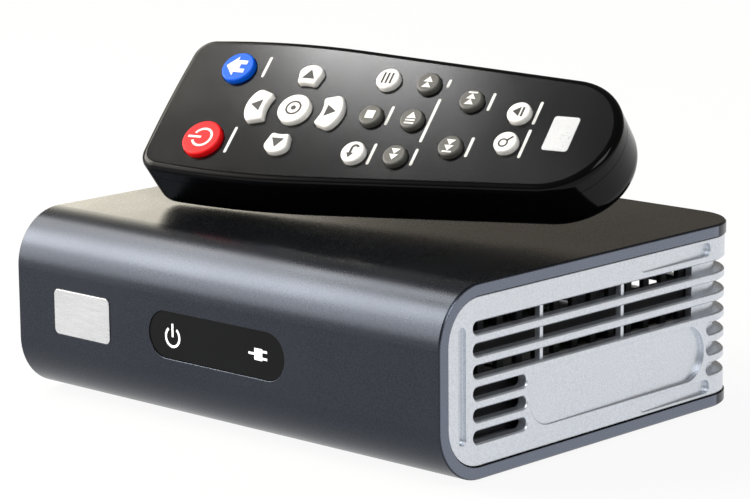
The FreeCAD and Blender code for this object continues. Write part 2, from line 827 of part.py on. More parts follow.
def usb_port_rear():
    return set_rear(usb_port(), usb_rear_x)


def usb_port_side():
    port = usb_port()
    port.rotate(Vector(0, 0, 0), Z_AXIS, 90)
    port.translate(Vector(-side_port_face, usb_side_y, board_top))
    return port


def hdmi_shape(inset, depth, mouth):
    """The outline of the video socket, with its two lower corners cut off, as a bar along Y."""
    width, _, height = hdmi_body
    bar = box((inset - width / 2, width / 2 - inset), (-depth, mouth), (inset, height - inset))
    low = [e for e in bar.Edges if abs(e.tangentAt(e.FirstParameter).y) > 0.9 and e.CenterOfMass.z < height / 2]
    return bar.makeChamfer(hdmi_corner, low)


def hdmi_port():
    """The digital video socket: a metal shell with a thin tongue."""
    width, depth, height = hdmi_body
    room = hdmi_shape(hdmi_metal, depth - socket_back, 1)
    half = width / 2 - hdmi_metal - hdmi_corner - tongue_side_gap
    tongue = box((-half, half), (socket_back / 2 - depth, -tongue_set_back),
                 (height / 2 - hdmi_tongue_height / 2, height / 2 + hdmi_tongue_height / 2))
    port = fuse([hdmi_shape(0, depth, 0).cut(room), tongue])
    return set_rear(port, hdmi_x)


def shutter_axis():
    """Y and Z of the shutter's pin, from the mouth and underside of the optical socket."""
    return (-shutter_set_back - shutter_thickness / 2,
            optical_body[2] / 2 + optical_bore / 2 + shutter_pin_lift)


def optical_port():
    """The optical socket: a block with a square bore and room above it for the open shutter."""
    width, depth, height = optical_body
    block = socket_body(optical_body)
    top = [e for e in block.Edges if abs(e.tangentAt(e.FirstParameter).y) > 0.9 and e.CenterOfMass.z > height / 2]
    block = block.makeChamfer(optical_bevel, top)
    half = optical_bore / 2
    pin_y, pin_z = shutter_axis()
    bore = box((-half, half), (-optical_bore_depth, 1), (height / 2 - half, height / 2 + half))
    swing = box((-half, half), (-optical_bore_depth, pin_y + shutter_swing_gap),
                (height / 2, pin_z + shutter_swing_gap))
    pin_length = shutter_pin_length + 2 * shutter_fit
    pin_bore = rod((-pin_length / 2, pin_y, pin_z), shutter_pin_radius + shutter_fit, pin_length, X_AXIS)
    return set_rear(cut(block, [bore, swing, pin_bore]), optical_x)


def optical_shutter():
    """The sprung flap that closes the optical socket, on its hinge pin."""
    pin_y, pin_z = shutter_axis()
    half = optical_bore / 2 - shutter_fit
    flap = box((-half, half), (pin_y - shutter_thickness / 2, pin_y + shutter_thickness / 2),
               (optical_body[2] / 2 - half, pin_z))
    pin = rod((-shutter_pin_length / 2, pin_y, pin_z), shutter_pin_radius, shutter_pin_length, X_AXIS)
    return set_rear(fuse([flap, pin]), optical_x)


def av_jack(x):
    """A round jack: a block behind the frame with a barrel standing in an open well."""
    width, depth, height = av_body
    face = frame_inner_y - av_face_gap - port_face
    centre = height / 2
    block = box((-width / 2, width / 2), (face - depth, face), (0, height))
    well = rod((0, -av_barrel_length, centre), av_well_radius, FAR, Y_AXIS)
    barrel = rod((0, -av_barrel_length - 0.5, centre), av_barrel_radius, av_barrel_length + 0.5, Y_AXIS)
    bore = rod((0, -av_bore_depth, centre), av_barrel_bore, FAR, Y_AXIS)
    return set_rear(fuse([block.cut(well), barrel]).cut(bore), x)


def power_jack():
    """The round power inlet, with its centre pin."""
    centre = power_body[2] / 2
    bore = rod((0, -power_bore_depth, centre), power_bore_radius, FAR, Y_AXIS)
    pin = rod((0, -power_bore_depth - 0.5, centre), power_pin_radius, power_pin_length + 0.5, Y_AXIS)
    return set_rear(fuse([socket_body(power_body).cut(bore), pin]), power_x)


def reset_switch():
    width, depth, height = reset_switch_size
    return box((-board_half_width, width - board_half_width), (reset_y - depth / 2, reset_y + depth / 2),
               (board_top, board_top + height))


def reset_button():
    """A slim push pin through the left side, with a flange behind the tray's wall."""
    inner = -board_half_width - reset_travel - reset_end_gap
    outer = -(half_width - frame_recess - reset_recess)
    pin = rod((outer, reset_y, reset_level), reset_radius, inner - outer, X_AXIS)
    flange_start = -tray_inner_x + reset_flange_gap
    flange = rod((flange_start, reset_y, reset_level), reset_flange_radius, inner - flange_start, X_AXIS)
    return fuse([pin, flange])


# ---------------------------------------------------------------- remote control, in its own frame
def remote_outline(inset, low, high):
    """The remote's outline on its face, drawn in by an inset, as a block between two levels."""
    tail = remote_tail_radius - inset
    shoulder = remote_shoulder_radius - inset
    shoulder_v = remote_half_width - remote_shoulder_radius
    corner_u = inset + remote_front_bulge - remote_front

    def side(u):
        return shoulder_v + math.sqrt(shoulder ** 2 - (u - remote_widest) ** 2)

    def at(u, v):
        return Vector(u, v, low)

    start = (remote_widest + shoulder * math.sin(taper_angle), shoulder_v + shoulder * math.cos(taper_angle))
    end = (remote_tail_centre + tail * math.sin(taper_angle), tail * math.cos(taper_angle))
    middle_u = (corner_u + start[0]) / 2
    edges = [
        Part.Arc(at(corner_u, side(corner_u)), at(middle_u, side(middle_u)), at(*start)),
        Part.LineSegment(at(*start), at(*end)),
        Part.Arc(at(*end), at(remote_tail_centre + tail, 0), at(end[0], -end[1])),
        Part.LineSegment(at(end[0], -end[1]), at(start[0], -start[1])),
        Part.Arc(at(start[0], -start[1]), at(middle_u, -side(middle_u)), at(corner_u, -side(corner_u))),
        Part.Arc(at(corner_u, -side(corner_u)), at(inset - remote_front, 0), at(corner_u, side(corner_u))),
    ]
    wire = Part.Wire([edge.toShape() for edge in edges])
    block = Part.Face(wire).extrude(Vector(0, 0, high - low))
    corners = [e for e in block.Edges
               if abs(e.tangentAt(e.FirstParameter).z) > 0.9 and e.CenterOfMass.x < corner_u + 0.01]
    return block.makeFillet(remote_front_corner - inset, corners)


def crown(inset):
    """A long round bar whose underside is the crowned back, drawn in by an inset."""
    bar = rod((-FAR / 2, 0, crown_level), remote_crown_radius - inset, FAR, X_AXIS)
    bar.rotate(Vector(0, 0, 0), Y_AXIS, -remote_rise)
    return bar


def remote_solid(inset):
    """The remote as one lump with a round back edge, drawn in by an inset."""
    block = remote_outline(inset, -remote_thickness - 1, -inset).common(crown(inset))
    back = max((f for f in block.Faces if f.CenterOfMass.z < -remote_thickness / 2),
               key=lambda f: abs(f.normalAt(*f.Surface.parameter(f.CenterOfMass)).z) * f.Area)
    return block.makeFillet(remote_back_round - inset, back.Edges)


def remote_outside():
    """The whole outer form, with the round edge of the face as well."""
    block = remote_solid(0)
    rim = [e for e in block.Edges if abs(e.BoundBox.ZMin) < 0.001 and abs(e.BoundBox.ZMax) < 0.001]
    return block.makeFillet(remote_face_round, rim)


def slab(low, high):
    """Everything between two levels."""
    return box((-FAR, FAR), (-FAR, FAR), (low, high))


def petal(name, spread, low, high):
    """An arrow key's outline, widened all round, as a block between two levels."""
    direction, outer_radius, half_width_far, half_width_near = petal_keys[name]
    reach = petal_reach + spread
    outer = outer_radius + spread
    inner = petal_inner_radius - spread
    half = half_width_far + spread
    neck = half_width_near + spread
    centre = petal_reach - outer_radius
    far_u = centre + math.sqrt(outer ** 2 - half ** 2)
    near_u = math.sqrt(inner ** 2 - neck ** 2)

    def at(u, v):
        return Vector(u, v, low)

    edges = [
        Part.Arc(at(far_u, -half), at(reach, 0), at(far_u, half)),
        Part.LineSegment(at(far_u, half), at(near_u, neck)),
        Part.Arc(at(near_u, neck), at(inner, 0), at(near_u, -neck)),
        Part.LineSegment(at(near_u, -neck), at(far_u, -half)),
    ]
    block = Part.Face(Part.Wire([edge.toShape() for edge in edges])).extrude(Vector(0, 0, high - low))
    upright = [e for e in block.Edges if abs(e.tangentAt(e.FirstParameter).z) > 0.9]
    far = [e for e in upright if e.CenterOfMass.x > (far_u + near_u) / 2]
    near = [e for e in upright if e.CenterOfMass.x < (far_u + near_u) / 2]
    block = block.makeFillet(petal_outer_corner + spread, far).makeFillet(petal_inner_corner, near)
    block.rotate(Vector(0, 0, 0), Z_AXIS, direction)
    return block


def key_block(name, spread, low, high):
    """A key's outline, widened all round, as a block between two levels."""
    if name in petal_keys:
        return petal(name, spread, low, high)
    u, v, radius = round_keys[name]
    return rod((u, v, low), radius + spread, high - low)


def key(name):
    """A key with a rounded top, and the flange that keeps it behind the lid."""
    cap = key_block(name, 0, key_under, key_height)
    top = [e for e in cap.Edges if abs(e.BoundBox.ZMin - key_height) < 0.001]
    cap = cap.makeFillet(key_edge, top)
    return fuse([cap, key_block(name, key_flange, key_under, key_under + key_flange_thickness)])


def key_names():
    return list(round_keys) + list(petal_keys)


def key_holes():
    """Holes for every key, right through the lid and the face plate."""
    return [key_block(name, key_fit, 2 * lid_under, key_height) for name in key_names()]


def remote_screw_places():
    return [(remote_screw_u, side * remote_screw_v) for side in (-1, 1)]


def plate_block(inset, low, high):
    """The outline of the face plate, drawn in by an inset."""
    return remote_outline(remote_face_round + plate_margin + inset, low, high)


def remote_top_case():
    """The upper case: a lid with a round edge, a rim, two screw bosses and a seat for the face plate."""
    case = remote_outside().common(slab(-remote_parting, FAR))
    room = remote_outline(remote_wall, -FAR, lid_under)
    seat = plate_block(-plate_fit, -plate_thickness, FAR)
    case = cut(case, [room, seat] + key_holes())
    bosses = [rod((u, v, -remote_parting), remote_boss_radius, remote_parting - remote_lid_thickness / 2)
              for u, v in remote_screw_places()]
    pilots = [rod((u, v, -FAR), remote_screw_radius + screw_bore_clearance, FAR + remote_screw_end)
              for u, v in remote_screw_places()]
    return cut(fuse([case] + bosses), pilots)


def label_block(fit, thickness, level):
    """The small plate near the tail, with its underside at a level."""
    plate = rounded_plate(label_length + 2 * fit, label_width + 2 * fit, thickness, label_corner + fit)
    plate.translate(Vector(label_centre, 0, level))
    return plate


def remote_label_plate():
    return label_block(0, label_thickness, label_proud - label_thickness)


def remote_face_plate():
    """The thin satin plate let into the lid."""
    seat = label_block(plate_fit, FAR, label_proud - label_thickness)
    return cut(plate_block(0, -plate_thickness, 0), [seat] + key_holes())


def door_prism(fit):
    """The battery door's path: a bar that runs out at the tail and widens inwards."""
    low = -remote_thickness - 1
    high = -remote_thickness / 2
    flare = math.tan(math.radians(door_flare))

    def half(level):
        return door_half_width + fit + (level + remote_thickness) * flare

    start = door_start - fit
    corners = [(-half(low), low), (half(low), low), (half(high), high), (-half(high), high)]
    points = [Vector(start, v, level) for v, level in corners]
    return Part.Face(Part.makePolygon(points + points[:1])).extrude(Vector(FAR, 0, 0))


def battery_door():
    """The sliding battery door, with finger grooves, cut from the crowned back."""
    door = remote_solid(0).common(door_prism(0)).cut(crown(door_thickness))
    grooves = []
    for i in range(grip_count):
        u = grip_first + i * grip_pitch
        bar = box((u, u + grip_width), (-grip_half_length, grip_half_length), (-FAR, 0))
        grooves.append(bar.cut(crown(grip_depth)))
    return cut(door, grooves)


def ir_opening(fit):
    """The block that the infrared window fills in the end wall."""
    half_width_v = ir_window_width / 2 + fit
    half_height = ir_window_height / 2 + fit
    return box((-FAR, ir_window_depth - remote_front + fit), (-half_width_v, half_width_v),
               (ir_level - half_height, ir_level + half_height))


def remote_bottom_case():
    """The lower case: a tub with a crowned back, the walls of the battery bay and two screw columns."""
    room = remote_outline(remote_wall, -FAR, 0).common(crown(remote_floor))
    bay_outer = bay_half_width + bay_wall
    bay = box((bay_front - bay_wall, FAR), (-bay_outer, bay_outer), (-FAR, remote_board_under))
    room = room.cut(bay)
    for u, v in remote_screw_places():
        room = room.cut(rod((u, v, -FAR), remote_column_radius, FAR + case_top))
    case = remote_solid(0).common(slab(-FAR, case_top)).cut(room)
    rest = box((bay_front - bay_wall, remote_board_end), (-bay_outer, bay_outer), (case_top - 1, remote_board_under))
    case = fuse([case, rest])
    cells = box((bay_front, bay_rear), (-bay_half_width, bay_half_width), (-FAR, FAR))
    door_room = door_prism(door_fit).cut(crown(door_thickness + door_fit))
    tools = [cells, door_room, ir_opening(ir_window_fit)]
    for u, v in remote_screw_places():
        tools.append(rod((u, v, -FAR), remote_screw_head_radius + remote_screw_fit, FAR + remote_screw_head_level))
        tools.append(rod((u, v, -FAR), remote_screw_radius + remote_screw_fit, 2 * FAR))
    return cut(case, tools)


def remote_ir_window():
    return remote_solid(0).common(ir_opening(0))


def remote_ir_lamp():
    """The infrared lamp behind its window, with a collar that reaches the circuit board."""
    start = ir_window_depth - remote_front + ir_lamp_gap
    length = ir_lamp_length - ir_lamp_radius
    barrel = rod((start + ir_lamp_radius, 0, ir_level), ir_lamp_radius, length, X_AXIS)
    dome = Part.makeSphere(ir_lamp_radius, Vector(start + ir_lamp_radius, 0, ir_level))
    end = start + ir_lamp_length
    collar = box((end - ir_collar, end), (-ir_lamp_radius, ir_lamp_radius),
                 (ir_level - ir_lamp_radius, remote_board_under))
    return fuse([barrel, dome, collar])


def boss_holes(low, high):
    """Clearance for the screw bosses through the board and the key mat."""
    return [rod((u, v, low), remote_boss_radius + key_fit, high - low) for u, v in remote_screw_places()]


def remote_circuit_board():
    board = remote_outline(remote_board_inset, remote_board_under, remote_board_top)
    board = board.common(box((-FAR, remote_board_end), (-FAR, FAR), (-FAR, FAR)))
    return cut(board, boss_holes(-FAR, FAR))


def remote_key_mat():
    mat = remote_outline(mat_inset, remote_board_top, mat_top)
    mat = mat.common(box((-FAR, mat_end), (-FAR, FAR), (-FAR, FAR)))
    return cut(mat, boss_holes(-FAR, FAR))


def remote_batteries():
    """Two small cells side by side, facing opposite ways."""
    cells = []
    for side in (-1, 1):
        v = side * cell_spacing / 2
        can_start = cell_start if side < 0 else cell_start + cell_nub_length
        nub_start = cell_start + cell_length if side < 0 else cell_start
        cells.append(fuse([rod((can_start, v, cell_level), cell_radius, cell_length, X_AXIS),
                           rod((nub_start, v, cell_level), cell_nub_radius, cell_nub_length, X_AXIS)]))
    return Part.Compound(cells)


def remote_battery_contacts():
    """Two separate spring plates at one end of the bay, and one that joins the cells at the other."""
    levels = (remote_board_under - contact_height, remote_board_under)
    plates = []
    for side in (-1, 1):
        v = side * cell_spacing / 2
        plates.append(box((bay_front, bay_front + contact_thickness),
                          (v - contact_width / 2, v + contact_width / 2), levels))
    reach = cell_spacing / 2 + contact_width / 2
    plates.append(box((bay_rear - contact_thickness, bay_rear), (-reach, reach), levels))
    return Part.Compound(plates)


def remote_screws():
    """Two screws that pull the cases together from the back."""
    head = remote_screw_head_level - remote_screw_head_height
    return Part.Compound([
        fuse([rod((u, v, head), remote_screw_head_radius, remote_screw_head_height),
              rod((u, v, remote_screw_head_level), remote_screw_radius, remote_screw_end - remote_screw_head_level)])
        for u, v in remote_screw_places()])


# ---------------------------------------------------------------- remote control on the lid
def remote_lowest():
    """How far the tilted remote reaches below its own origin, at its widest place."""
    tilt = math.radians(remote_tilt)
    round_v = remote_back_round - remote_half_width
    reach = remote_crown_radius - remote_back_round
    thicker = -remote_widest * math.tan(math.radians(remote_rise))
    round_n = crown_level - thicker - math.sqrt(reach ** 2 - round_v ** 2)
    return round_v * math.sin(tilt) + round_n * math.cos(tilt) - remote_back_round


def on_lid(shape):
    """Sets a piece of the remote on the lid, tilted and turned, with its lower edge just above it."""
    placed = shape.copy()
    placed.rotate(Vector(0, 0, 0), X_AXIS, remote_tilt)
    placed.rotate(Vector(0, 0, 0), Z_AXIS, remote_yaw)
    placed.translate(Vector(remote_x, remote_y, shell_top + remote_rest_gap - remote_lowest()))
    return placed


PLAYER = {
    "outer_shell": outer_shell,
    "vent_frame": vent_frame,
    "base_tray": base_tray,
    "main_board": main_board,
    "processor": processor,
    "thermal_pad": thermal_pad,
    "heat_sink": heat_sink,
    "memory_chips": memory_chips,
    "board_parts": board_parts,
    "indicator_leds": indicator_leds,
    "light_guide": light_guide,
    "indicator_window": indicator_window,
    "badge_plate": badge_plate,
    "rubber_feet": rubber_feet,
    "case_screws": case_screws,
    "board_screws": board_screws,
    "power_jack": power_jack,
    "usb_port_rear": usb_port_rear,
    "usb_port_side": usb_port_side,
    "hdmi_port": hdmi_port,
    "optical_port": optical_port,
    "optical_shutter": optical_shutter,
    "reset_switch": reset_switch,
    "reset_button": reset_button,
}
REMOTE = {
    "remote_top_case": remote_top_case,
    "remote_face_plate": remote_face_plate,
    "remote_label_plate": remote_label_plate,
    "remote_bottom_case": remote_bottom_case,
    "remote_ir_window": remote_ir_window,
    "remote_ir_lamp": remote_ir_lamp,
    "remote_circuit_board": remote_circuit_board,
    "remote_key_mat": remote_key_mat,
    "remote_batteries": remote_batteries,
    "remote_battery_contacts": remote_battery_contacts,
    "remote_screws": remote_screws,
    "battery_door": battery_door,
}
AV_JACKS = ("audio_right_jack", "audio_left_jack", "video_jack")


def build():
    """Every piece in place, by name."""
    nodes = {name: make() for name, make in PLAYER.items()}
    for name, x in zip(AV_JACKS, av_places()):
        nodes[name] = av_jack(x)
    for name, make in REMOTE.items():
        nodes[name] = on_lid(make())
    for name in key_names():
        nodes[name] = on_lid(key(name))
    return nodes


if __name__ == "__main__":
    os.makedirs("parts", exist_ok=True)
    for node, shape in build().items():
        print(node, round(shape.Volume, 2), shape.isValid(), len(shape.Solids))
        shape.exportStep(os.path.join("parts", node + ".step"))
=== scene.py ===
"""Looks of a palm-sized media player box and the remote control that leans on its lid.

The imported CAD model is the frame. This script gives each of its nodes a finish, adds the printed signs
and the small metal pieces that ride on them, and sets up the camera, the floor and the studio light.
Lengths in the code are metres, and the sizes of signs and small pieces are given in millimetres.
"""

import json
import logging
import math
from dataclasses import dataclass, field
from enum import Enum

import bmesh
import bpy
from mathutils import Euler, Matrix, Vector
from mathutils.bvhtree import BVHTree


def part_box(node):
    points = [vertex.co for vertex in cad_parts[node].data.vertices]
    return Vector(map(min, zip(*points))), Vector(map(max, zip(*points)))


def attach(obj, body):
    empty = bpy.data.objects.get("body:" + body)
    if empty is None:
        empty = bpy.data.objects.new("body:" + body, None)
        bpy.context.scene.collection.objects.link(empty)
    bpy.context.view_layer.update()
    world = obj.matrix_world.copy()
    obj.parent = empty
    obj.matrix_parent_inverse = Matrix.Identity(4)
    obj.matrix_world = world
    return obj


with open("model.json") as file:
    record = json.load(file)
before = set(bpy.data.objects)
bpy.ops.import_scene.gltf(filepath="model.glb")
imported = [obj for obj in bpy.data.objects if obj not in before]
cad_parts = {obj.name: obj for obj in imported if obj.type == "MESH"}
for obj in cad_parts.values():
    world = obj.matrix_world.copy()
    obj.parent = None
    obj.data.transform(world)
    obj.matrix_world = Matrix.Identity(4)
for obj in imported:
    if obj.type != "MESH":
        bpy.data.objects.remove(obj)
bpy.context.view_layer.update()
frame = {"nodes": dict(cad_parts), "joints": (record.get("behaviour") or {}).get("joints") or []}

log = logging.getLogger("media_player")
MM = 0.001
SHARP_ANGLE = math.radians(40)
MERGE_DISTANCE = 1e-6

Colour = tuple[float, float, float]
Pair = tuple[float, float]
Socket = bpy.types.NodeSocket
Source = Socket | float | tuple
Takes = bpy.types.NodeOutputs
Gives = bpy.types.NodeInputs
Surface = tuple[Socket, Socket, Socket]


def shade(red: int, green: int, blue: int) -> Colour:
    """Gives the linear colour of a display colour.

    Args:
        red: The display value of red, from 0 to 255.
        green: That of green.
        blue: That of blue.

    Returns:
        The colour as Blender's sockets take it.
    """
    def linear(value: int) -> float:
        """Gives one channel's linear value."""
        share = value / 255
        return share / 12.92 if share <= 0.04045 else ((share + 0.055) / 1.055) ** 2.4

    return linear(red), linear(green), linear(blue)


# ---- wiring of node trees
class Wiring:
    """A node tree that is being wired: a material, the world or a group."""

    def __init__(self, tree: bpy.types.NodeTree) -> None:
        """Takes the tree that the nodes go into."""
        self.tree = tree

    def node(self, kind: str, **settings: object) -> bpy.types.Node:
        """Adds a node.

        Args:
            kind: Blender's name of the node's type.
            settings: The node's own properties.

        Returns:
            The new node.
        """
        made = self.tree.nodes.new(kind)
        for name, value in settings.items():
            setattr(made, name, value)
        return made

    def feed(self, source: Source, target: Socket) -> None:
        """Feeds an input.

        Args:
            source: A socket to link it to, or a plain value.
            target: The input.
        """
        if isinstance(source, bpy.types.NodeSocket):
            self.tree.links.new(source, target)
        else:
            target.default_value = source

    def fed(self, kind: str, takes: dict[str | int, Source], **settings: object) -> bpy.types.Node:
        """Adds a node and feeds its inputs.

        Args:
            kind: Blender's name of the node's type.
            takes: What each input takes, by its name or its number.
            settings: The node's own properties.

        Returns:
            The new node.
        """
        made = self.node(kind, **settings)
        for name, source in takes.items():
            self.feed(source, made.inputs[name])
        return made

    def sum(self, operation: str, first: Socket | float, second: Socket | float = 0.0,
            clamp: bool = False) -> Socket:
        """Does one sum, whose answer is kept from 0 to 1 if it is clamped."""
        made = self.fed("ShaderNodeMath", {0: first, 1: second}, operation=operation, use_clamp=clamp)
        return made.outputs[0]

    def likeness(self, first: Socket, second: Socket | tuple) -> Socket:
        """Gives the dot product of two directions."""
        made = self.fed("ShaderNodeVectorMath", {0: first, 1: second}, operation="DOT_PRODUCT")
        return made.outputs["Value"]

    def noise(self, vector: Socket, scale: Socket | float, detail: float = 2.0) -> Socket:
        """Gives the value of a noise pattern, with a scale in cells to a metre. Its average is 0.5."""
        made = self.fed("ShaderNodeTexNoise", {"Detail": detail, "Vector": vector, "Scale": scale})
        return made.outputs["Fac"]

    def blend(self, share: Socket | float, first: Socket | Colour, second: Socket | Colour) -> Socket:
        """Blends two colours.

        Args:
            share: How much of the second there is, from 0 to 1.
            first: The first colour.
            second: The second colour.

        Returns:
            The blended colour's socket.
        """
        first, second = ((*colour, 1.0) if isinstance(colour, tuple) else colour for colour in (first, second))
        return self.fed("ShaderNodeMix", {0: share, 6: first, 7: second}, data_type="RGBA").outputs[2]

    def span(self, value: Socket, low: float, high: float) -> Socket:
        """Gives 0 where a value is at low and 1 where it is at high, with a smooth change between them."""
        made = self.fed("ShaderNodeMapRange", {0: value, 1: low, 2: high}, interpolation_type="SMOOTHSTEP")
        return made.outputs[0]


class Effect:
    """A shader node group that several finishes share. It is built once, when it is first placed."""

    title = "effect"
    takes: dict[str, tuple[str, float | tuple]] = {}
    gives: dict[str, str] = {}

    def place(self, sheet: Wiring, **values: Source) -> bpy.types.Node:
        """Places the group in a material.

        Args:
            sheet: The material's wiring.
            values: What each input takes, with a low line for a space in its name.

        Returns:
            The group's node.
        """
        tree = bpy.data.node_groups.get(self.title) or self.build()
        made = sheet.node("ShaderNodeGroup", node_tree=tree)
        for name, value in values.items():
            sheet.feed(value, made.inputs[name.replace("_", " ")])
        return made

    def build(self) -> bpy.types.NodeTree:
        """Builds the group with its named inputs and outputs.

        Returns:
            The group's tree.
        """
        tree = bpy.data.node_groups.new(self.title, "ShaderNodeTree")
        for name, (kind, value) in self.takes.items():
            socket = tree.interface.new_socket(name, in_out="INPUT", socket_type=kind)
            if value is not None:
                socket.default_value = value
        for name, kind in self.gives.items():
            tree.interface.new_socket(name, in_out="OUTPUT", socket_type=kind)
        sheet = Wiring(tree)
        self.wire(sheet, sheet.node("NodeGroupInput").outputs, sheet.node("NodeGroupOutput").inputs)
        return tree

    def wire(self, sheet: Wiring, takes: Takes, gives: Gives) -> None:
        """Wires the group's inside.

        Args:
            sheet: The group's wiring.
            takes: What the group takes.
            gives: What it gives.
        """
        raise NotImplementedError


FLOAT, COLOUR, VECTOR = "NodeSocketFloat", "NodeSocketColor", "NodeSocketVector"


class Pattern(Effect):
    """A pattern that changes a surface's shade, sheen and height."""

    gives = {"Color": COLOUR, "Roughness": FLOAT, "Height": FLOAT}

    def vary(self, sheet: Wiring, takes: Takes, gives: Gives, light: Socket,
             off: Socket, height: Socket) -> None:
        """Feeds what the pattern gives.

        Args:
            sheet: The group's wiring.
            takes: What the group takes.
            gives: What it gives.
            light: How much paler the colour is, as a share.
            off: How far the pattern is from its average, which changes the roughness.
            height: The pattern's height.
        """
        share = sheet.sum("ADD", light, 1.0)
        scaled = sheet.fed("ShaderNodeVectorMath", {"Vector": takes["Color"], "Scale": share}, operation="SCALE")
        sheet.feed(scaled.outputs[0], gives["Color"])
        uneven = sheet.sum("MULTIPLY", off, takes["Roughness Spread"])
        sheet.feed(sheet.sum("ADD", takes["Roughness"], uneven, clamp=True), gives["Roughness"])
        sheet.feed(height, gives["Height"])


class FleckedSkin(Pattern):
    """Fine flecks or moulding grain over slow clouds of shade and sheen."""

    title = "flecked skin"
    takes = {"Vector": (VECTOR, None), "Color": (COLOUR, (0.5, 0.5, 0.5, 1.0)),
             "Fleck Size": (FLOAT, 0.0003), "Fleck Spread": (FLOAT, 0.2),
             "Cloud Size": (FLOAT, 0.02), "Cloud Spread": (FLOAT, 0.05),
             "Roughness": (FLOAT, 0.4), "Roughness Spread": (FLOAT, 0.05)}

    def wire(self, sheet: Wiring, takes: Takes, gives: Gives) -> None:
        """Mixes two sizes of noise. Its arguments are those of every group."""
        fleck = sheet.noise(takes["Vector"], sheet.sum("DIVIDE", 1.0, takes["Fleck Size"]), 3.0)
        cloud = sheet.noise(takes["Vector"], sheet.sum("DIVIDE", 1.0, takes["Cloud Size"]), 2.0)
        fleck_off = sheet.sum("SUBTRACT", fleck, 0.5)
        cloud_off = sheet.sum("SUBTRACT", cloud, 0.5)
        light = sheet.sum("ADD", sheet.sum("MULTIPLY", fleck_off, takes["Fleck Spread"]),
                          sheet.sum("MULTIPLY", cloud_off, takes["Cloud Spread"]))
        self.vary(sheet, takes, gives, light, sheet.sum("ADD", fleck_off, cloud_off), fleck)


class BrushedLines(Pattern):
    """Fine lines that a brush or a die leaves on metal. They run along the vector's X."""

    title = "brushed lines"
    takes = {"Vector": (VECTOR, None), "Color": (COLOUR, (0.5, 0.5, 0.5, 1.0)),
             "Line Length": (FLOAT, 0.006), "Line Width": (FLOAT, 0.0001), "Spread": (FLOAT, 0.3),
             "Roughness": (FLOAT, 0.3), "Roughness Spread": (FLOAT, 0.1)}

    def wire(self, sheet: Wiring, takes: Takes, gives: Gives) -> None:
        """Stretches noise into lines. Its arguments are those of every group."""
        along = sheet.sum("DIVIDE", 1.0, takes["Line Length"])
        across = sheet.sum("DIVIDE", 1.0, takes["Line Width"])
        stretch = sheet.fed("ShaderNodeCombineXYZ", {0: along, 1: across, 2: across}).outputs[0]
        stretched = sheet.fed("ShaderNodeVectorMath", {0: takes["Vector"], 1: stretch}, operation="MULTIPLY")
        lines = sheet.noise(stretched.outputs[0], 1.0, 3.0)
        off = sheet.sum("SUBTRACT", lines, 0.5)
        self.vary(sheet, takes, gives, sheet.sum("MULTIPLY", off, takes["Spread"]), off, lines)


class SoftEdges(Effect):
    """The small round that every moulded or cast edge has, and a mask of where it lies."""

    title = "soft edges"
    takes = {"Radius": (FLOAT, 0.0002)}
    gives = {"Normal": VECTOR, "Mask": FLOAT}
    bevel_samples = 6
    mask_likeness = (0.99, 0.8)

    def wire(self, sheet: Wiring, takes: Takes, gives: Gives) -> None:
        """Rounds the normal and compares it with the flat one. Its arguments are those of every group."""
        bevel = sheet.fed("ShaderNodeBevel", {"Radius": takes["Radius"]}, samples=self.bevel_samples)
        rounded = bevel.outputs[0]
        sheet.feed(rounded, gives["Normal"])
        flat = sheet.node("ShaderNodeNewGeometry").outputs["Normal"]
        sheet.feed(sheet.span(sheet.likeness(rounded, flat), *self.mask_likeness), gives["Mask"])


